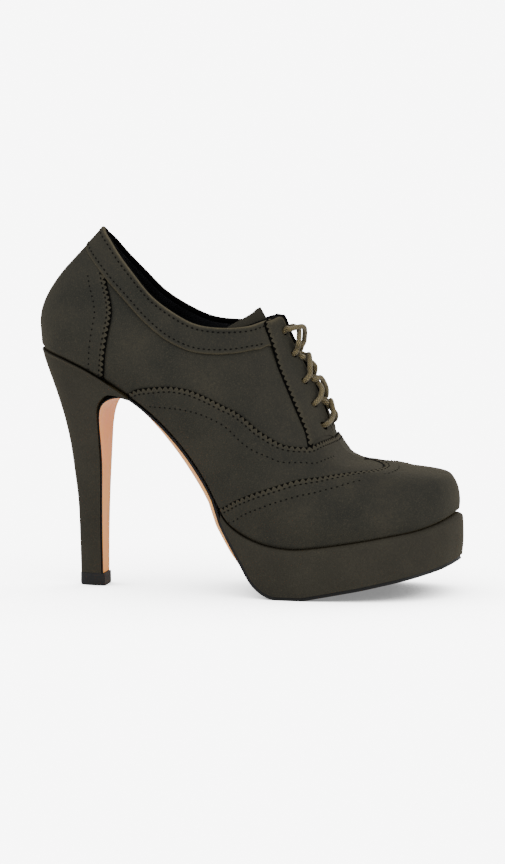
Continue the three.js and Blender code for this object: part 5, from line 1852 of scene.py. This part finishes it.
@dataclass
class Lace:
    """The lace: two ends that cross over the gap four times and go into the top eyelets."""

    last: Last
    finishes: Finishes
    radius: float = 1.25
    squeezed: float = 0.7        # radius where it lies in an eyelet
    bow: float = 2.4             # how far a crossing stands out over the gap
    slack_bow: float = 6.0       # the same of the top one, which hangs loose
    lift: float = 1.3            # how far the outer end's crossings lie over the inner end's
    sides_round: int = 14
    steps: int = 12              # points from one station to the next

    def _crossing(self, low: int, side: int, lift: float) -> list[tuple[np.ndarray, float]]:
        """Lays one end over the gap, from an eyelet to the next one up on the other side.

        Args:
            low: number of the eyelet that it comes out of, from the top.
            side: the side that it comes from.
            lift: how far it passes over, or under, the other end.

        Returns:
            The stations of the crossing: a point, and 1 where the cord is round or 0 where squeezed.
        """
        (row, share), (next_row, next_share) = EYELETS[low], EYELETS[low - 1]
        place = self.last.place
        slack = low == 1
        mid_row = lerp(next_row, row, 0.5)
        edges = sum(self.last.both(mid_row, 1.0)) / 2
        ahead = unit(self.last.normal(mid_row, 0.99, side) * [1, 0, 1])
        out = self.slack_bow if slack else self.bow
        middle = edges + ahead * (out + lift)
        stations = [
            (place(row, share, side, -2.5), 0), (place(row, share, side, -0.6), 0.6),
            (place(row, share + 0.008, side, 1.5), 1),
            (place(row, share + 0.045, side, 2.8), 1),
            (place(lerp(row, next_row, 0.10), 1.0, side, 5.2 if slack else 3.5), 1),
            (middle, 1),
        ]
        if slack:
            return stations + [(place(next_row + 0.24, 1.0, -side, 4.2), 1),
                               (place(next_row + 0.08, next_share + 0.035, -side, 2.9), 1),
                               (place(next_row, next_share + 0.008, -side, 1.6), 1),
                               (place(next_row, next_share, -side, -0.6), 0.6),
                               (place(next_row - 0.1, next_share - 0.03, -side, -2.6), 0)]
        return stations + [(place(next_row + 0.35, 1.0, -side, 2.0), 1),
                           (place(next_row + 0.22, 1.0, -side, -0.3), 0.8),
                           (place(next_row + 0.10, 0.985, -side, -2.6), 0)]

    def _route(self, side: int, lift: float) -> tuple[np.ndarray, np.ndarray]:
        """Leads one end of the lace from the lowest eyelet to the top one.

        Args:
            side: the side that it starts on.
            lift: how far its crossings pass over, or under, the other end.

        Returns:
            The cord's middle line and its radius along it.
        """
        stations = [(self.last.place(EYELETS[-1][0] + 0.25, 0.985, side, -2.6), 0)]
        for low in range(len(EYELETS) - 1, 0, -1):
            stations += self._crossing(low, side, lift)
            side = -side
        points, rounds = zip(*stations)
        at = np.linspace(0, len(points) - 1, (len(points) - 1) * self.steps + 1)
        radius = lerp(self.squeezed, self.radius, np.interp(at, np.arange(len(points)), rounds))
        return spline(np.array(points), self.steps), radius

    def _tube(self, middle: np.ndarray, radius: np.ndarray) -> tuple[np.ndarray, np.ndarray]:
        """Runs a round cord along a line.

        Args:
            middle: the line's points.
            radius: the cord's radius at each of them.

        Returns:
            Rings of points, and the length up to each ring.
        """
        tangent = unit(np.gradient(middle, axis=0))
        side = unit(np.cross(tangent[0], [0.3, 0.1, 1.0]))
        turn = np.linspace(0, math.tau, self.sides_round, endpoint=False)
        rings = []
        for point, ahead, r in zip(middle, tangent, radius):
            side = unit(side - ahead * np.dot(side, ahead))
            up = np.cross(ahead, side)
            rings.append(point + r * (np.cos(turn)[:, None] * side + np.sin(turn)[:, None] * up))
        steps = np.linalg.norm(np.diff(middle, axis=0), axis=1)
        return np.stack(rings), np.concatenate([[0], np.cumsum(steps)])

    def build(self) -> None:
        """Makes both ends as one piece, with a UV map of turns round and millimetres along."""
        vertices, faces, uvs = [], [], []
        count = self.sides_round
        for side, lift in ((OUTER, self.lift), (INNER, -self.lift)):
            rings, length = self._tube(*self._route(side, lift))
            start = sum(map(len, vertices))
            vertices.append(rings.reshape(-1, 3))
            faces += grid_faces(len(rings), count, start, loop=True)
            for low, high in zip(length, length[1:]):
                for j in range(count):
                    left, right = j / count, (j + 1) / count
                    uvs += [(left, low), (left, high), (right, high), (right, low)]
            for ring in (0, len(rings) - 1):
                faces.append(tuple(start + ring * count + j for j in range(count)))
                uvs += [(j / count, length[ring]) for j in range(count)]
        mesh = bpy.data.meshes.new("lace_braided")
        mesh.from_pydata((np.concatenate(vertices) * MM).tolist(), [], faces)
        layer = mesh.uv_layers.new(name="cord")
        layer.data.foreach_set("uv", np.array(uvs).ravel())
        close_up(mesh, merge=False)
        dress(add_object("lace_braided", mesh), [self.finishes.cord], ["lace"])


# Studio lights: name, place in metres, size in metres, power in watts.
STUDIO_LIGHTS = (
    ("key_left", (-0.9, -0.9, 1.1), 0.9, 9.0),
    ("fill_right", (1.3, -0.7, 0.7), 0.9, 6.0),
    ("low_front", (1.1, -0.35, 0.25), 0.7, 1.8),
    ("rim_behind", (0.2, 1.2, 0.9), 1.0, 3.0),
)


@dataclass
class Studio:
    """Camera at the photograph's angle, pale floor and soft lights."""

    azimuth: float = 12.0
    elevation: float = 6.5
    target: tuple[float, float, float] = (-24.63, 3.45, 74.59)
    distance: float = 3000.0
    frame_height: float = 411.3
    half_floor: float = 6.0      # in metres
    paper: str = "#f4f4f4"
    shadow_reach: float = 0.16   # in metres
    surroundings: float = 0.85
    # strength that the camera sees of the white backdrop, and of the floor's glow away from its painted
    # shadow
    burnt_out: float = 8.0

    def camera(self) -> None:
        """Makes the camera, far off with a long lens."""
        a, e = math.radians(self.azimuth), math.radians(self.elevation)
        right = Vector((math.cos(a), math.sin(a), 0))
        back = Vector((math.sin(a) * math.cos(e), -math.cos(a) * math.cos(e), math.sin(e)))
        up = back.cross(right)
        data = bpy.data.cameras.new("camera")
        data.sensor_fit = "VERTICAL"
        data.sensor_height = 36
        data.lens = data.sensor_height * self.distance / self.frame_height
        data.clip_end = 50
        camera = add_object("camera", data)
        turn = Matrix((right, up, back)).transposed().to_4x4()
        place = (Vector(self.target) + back * self.distance) * MM
        camera.matrix_world = Matrix.Translation(place) @ turn
        bpy.context.scene.camera = camera

    def floor(self) -> None:
        """Makes the plain floor: camera rays see a white glow with a painted shadow, dimmed by ambient
        occlusion near the shoe, and other rays see pale diffuse paper.
        """
        mesh = bpy.data.meshes.new("floor")
        half = self.half_floor
        mesh.from_pydata([(-half, -half, 0), (half, -half, 0), (half, half, 0), (-half, half, 0)], [],
                         [(0, 1, 2, 3)])
        floor = add_object("floor", mesh)
        material = bpy.data.materials.new("floor_paper_painted_shadow")
        material.use_nodes = True
        tree = material.node_tree
        tree.nodes.clear()
        paper = add_node(tree, "ShaderNodeBsdfDiffuse", {"Color": linear(self.paper)})
        # The glow follows ambient occlusion, so the soft shadow round the shoe is painted, not cast by the
        # lights.
        open_sky = add_node(tree, "ShaderNodeAmbientOcclusion", {"Distance": self.shadow_reach},
                            samples=16)
        shadowed_glow = add_node(tree, "ShaderNodeMapRange",
                        {"Value": open_sky.outputs["AO"], "From Min": 0.1, "From Max": 0.95,
                         "To Min": 0.25, "To Max": self.burnt_out})
        glow_with_painted_shadow = add_node(tree, "ShaderNodeEmission", {"Strength": shadowed_glow.outputs[0]})
        seen = add_node(tree, "ShaderNodeLightPath").outputs["Is Camera Ray"]
        both = add_node(tree, "ShaderNodeMixShader", {0: seen, 1: paper.outputs[0], 2: glow_with_painted_shadow.outputs[0]})
        add_node(tree, "ShaderNodeOutputMaterial", {"Surface": both.outputs[0]})
        mesh.materials.append(material)
        floor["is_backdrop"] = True

    def lights(self) -> None:
        """Makes the white surroundings and the large soft lights."""
        world = bpy.data.worlds.new("surroundings")
        world.use_nodes = True
        seen = add_node(world.node_tree, "ShaderNodeLightPath").outputs["Is Camera Ray"]
        strength = add_node(world.node_tree, "ShaderNodeMapRange",
                            {"Value": seen, "To Min": self.surroundings, "To Max": self.burnt_out})
        background = world.node_tree.nodes["Background"]
        background.inputs[0].default_value = (1, 1, 1, 1)
        world.node_tree.links.new(strength.outputs[0], background.inputs[1])
        bpy.context.scene.world = world
        for name, where, size, power in STUDIO_LIGHTS:
            data = bpy.data.lights.new(name, "AREA")
            data.shape = "DISK"
            data.size = size
            data.energy = power
            lamp = add_object(name, data)
            lamp.location = where
            aim = Vector(self.target) * MM - Vector(where)
            lamp.rotation_mode = "QUATERNION"
            lamp.rotation_quaternion = aim.to_track_quat("-Z", "Y")

    def build(self) -> None:
        """Makes the camera, the floor and the lights."""
        self.camera()
        self.floor()
        self.lights()


def corners(box: tuple[Vector, Vector]) -> list[list[float]]:
    """Returns a box as plain lists of numbers."""
    return [list(corner) for corner in box]


def main() -> None:
    """Builds the studio and the shoe."""
    logging.basicConfig(level=logging.INFO, format="%(name)s %(message)s")
    cad_box = corners(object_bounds())
    Studio().build()
    last = Last()
    finishes = Finishes()
    upper = Upper(last, finishes)
    upper.build()
    seams = SeamLines(last, finishes)
    seams.gather(upper.leather, upper.wing_leather, upper.band_leather)
    seams.build()
    Inside(last, finishes).build()
    Bottom(last, finishes).build()
    Lace(last, finishes).build()
    bpy.context.view_layer.update()
    {"cad": cad_box, "visual": corners(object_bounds())}


if __name__ == "__main__":
    main()
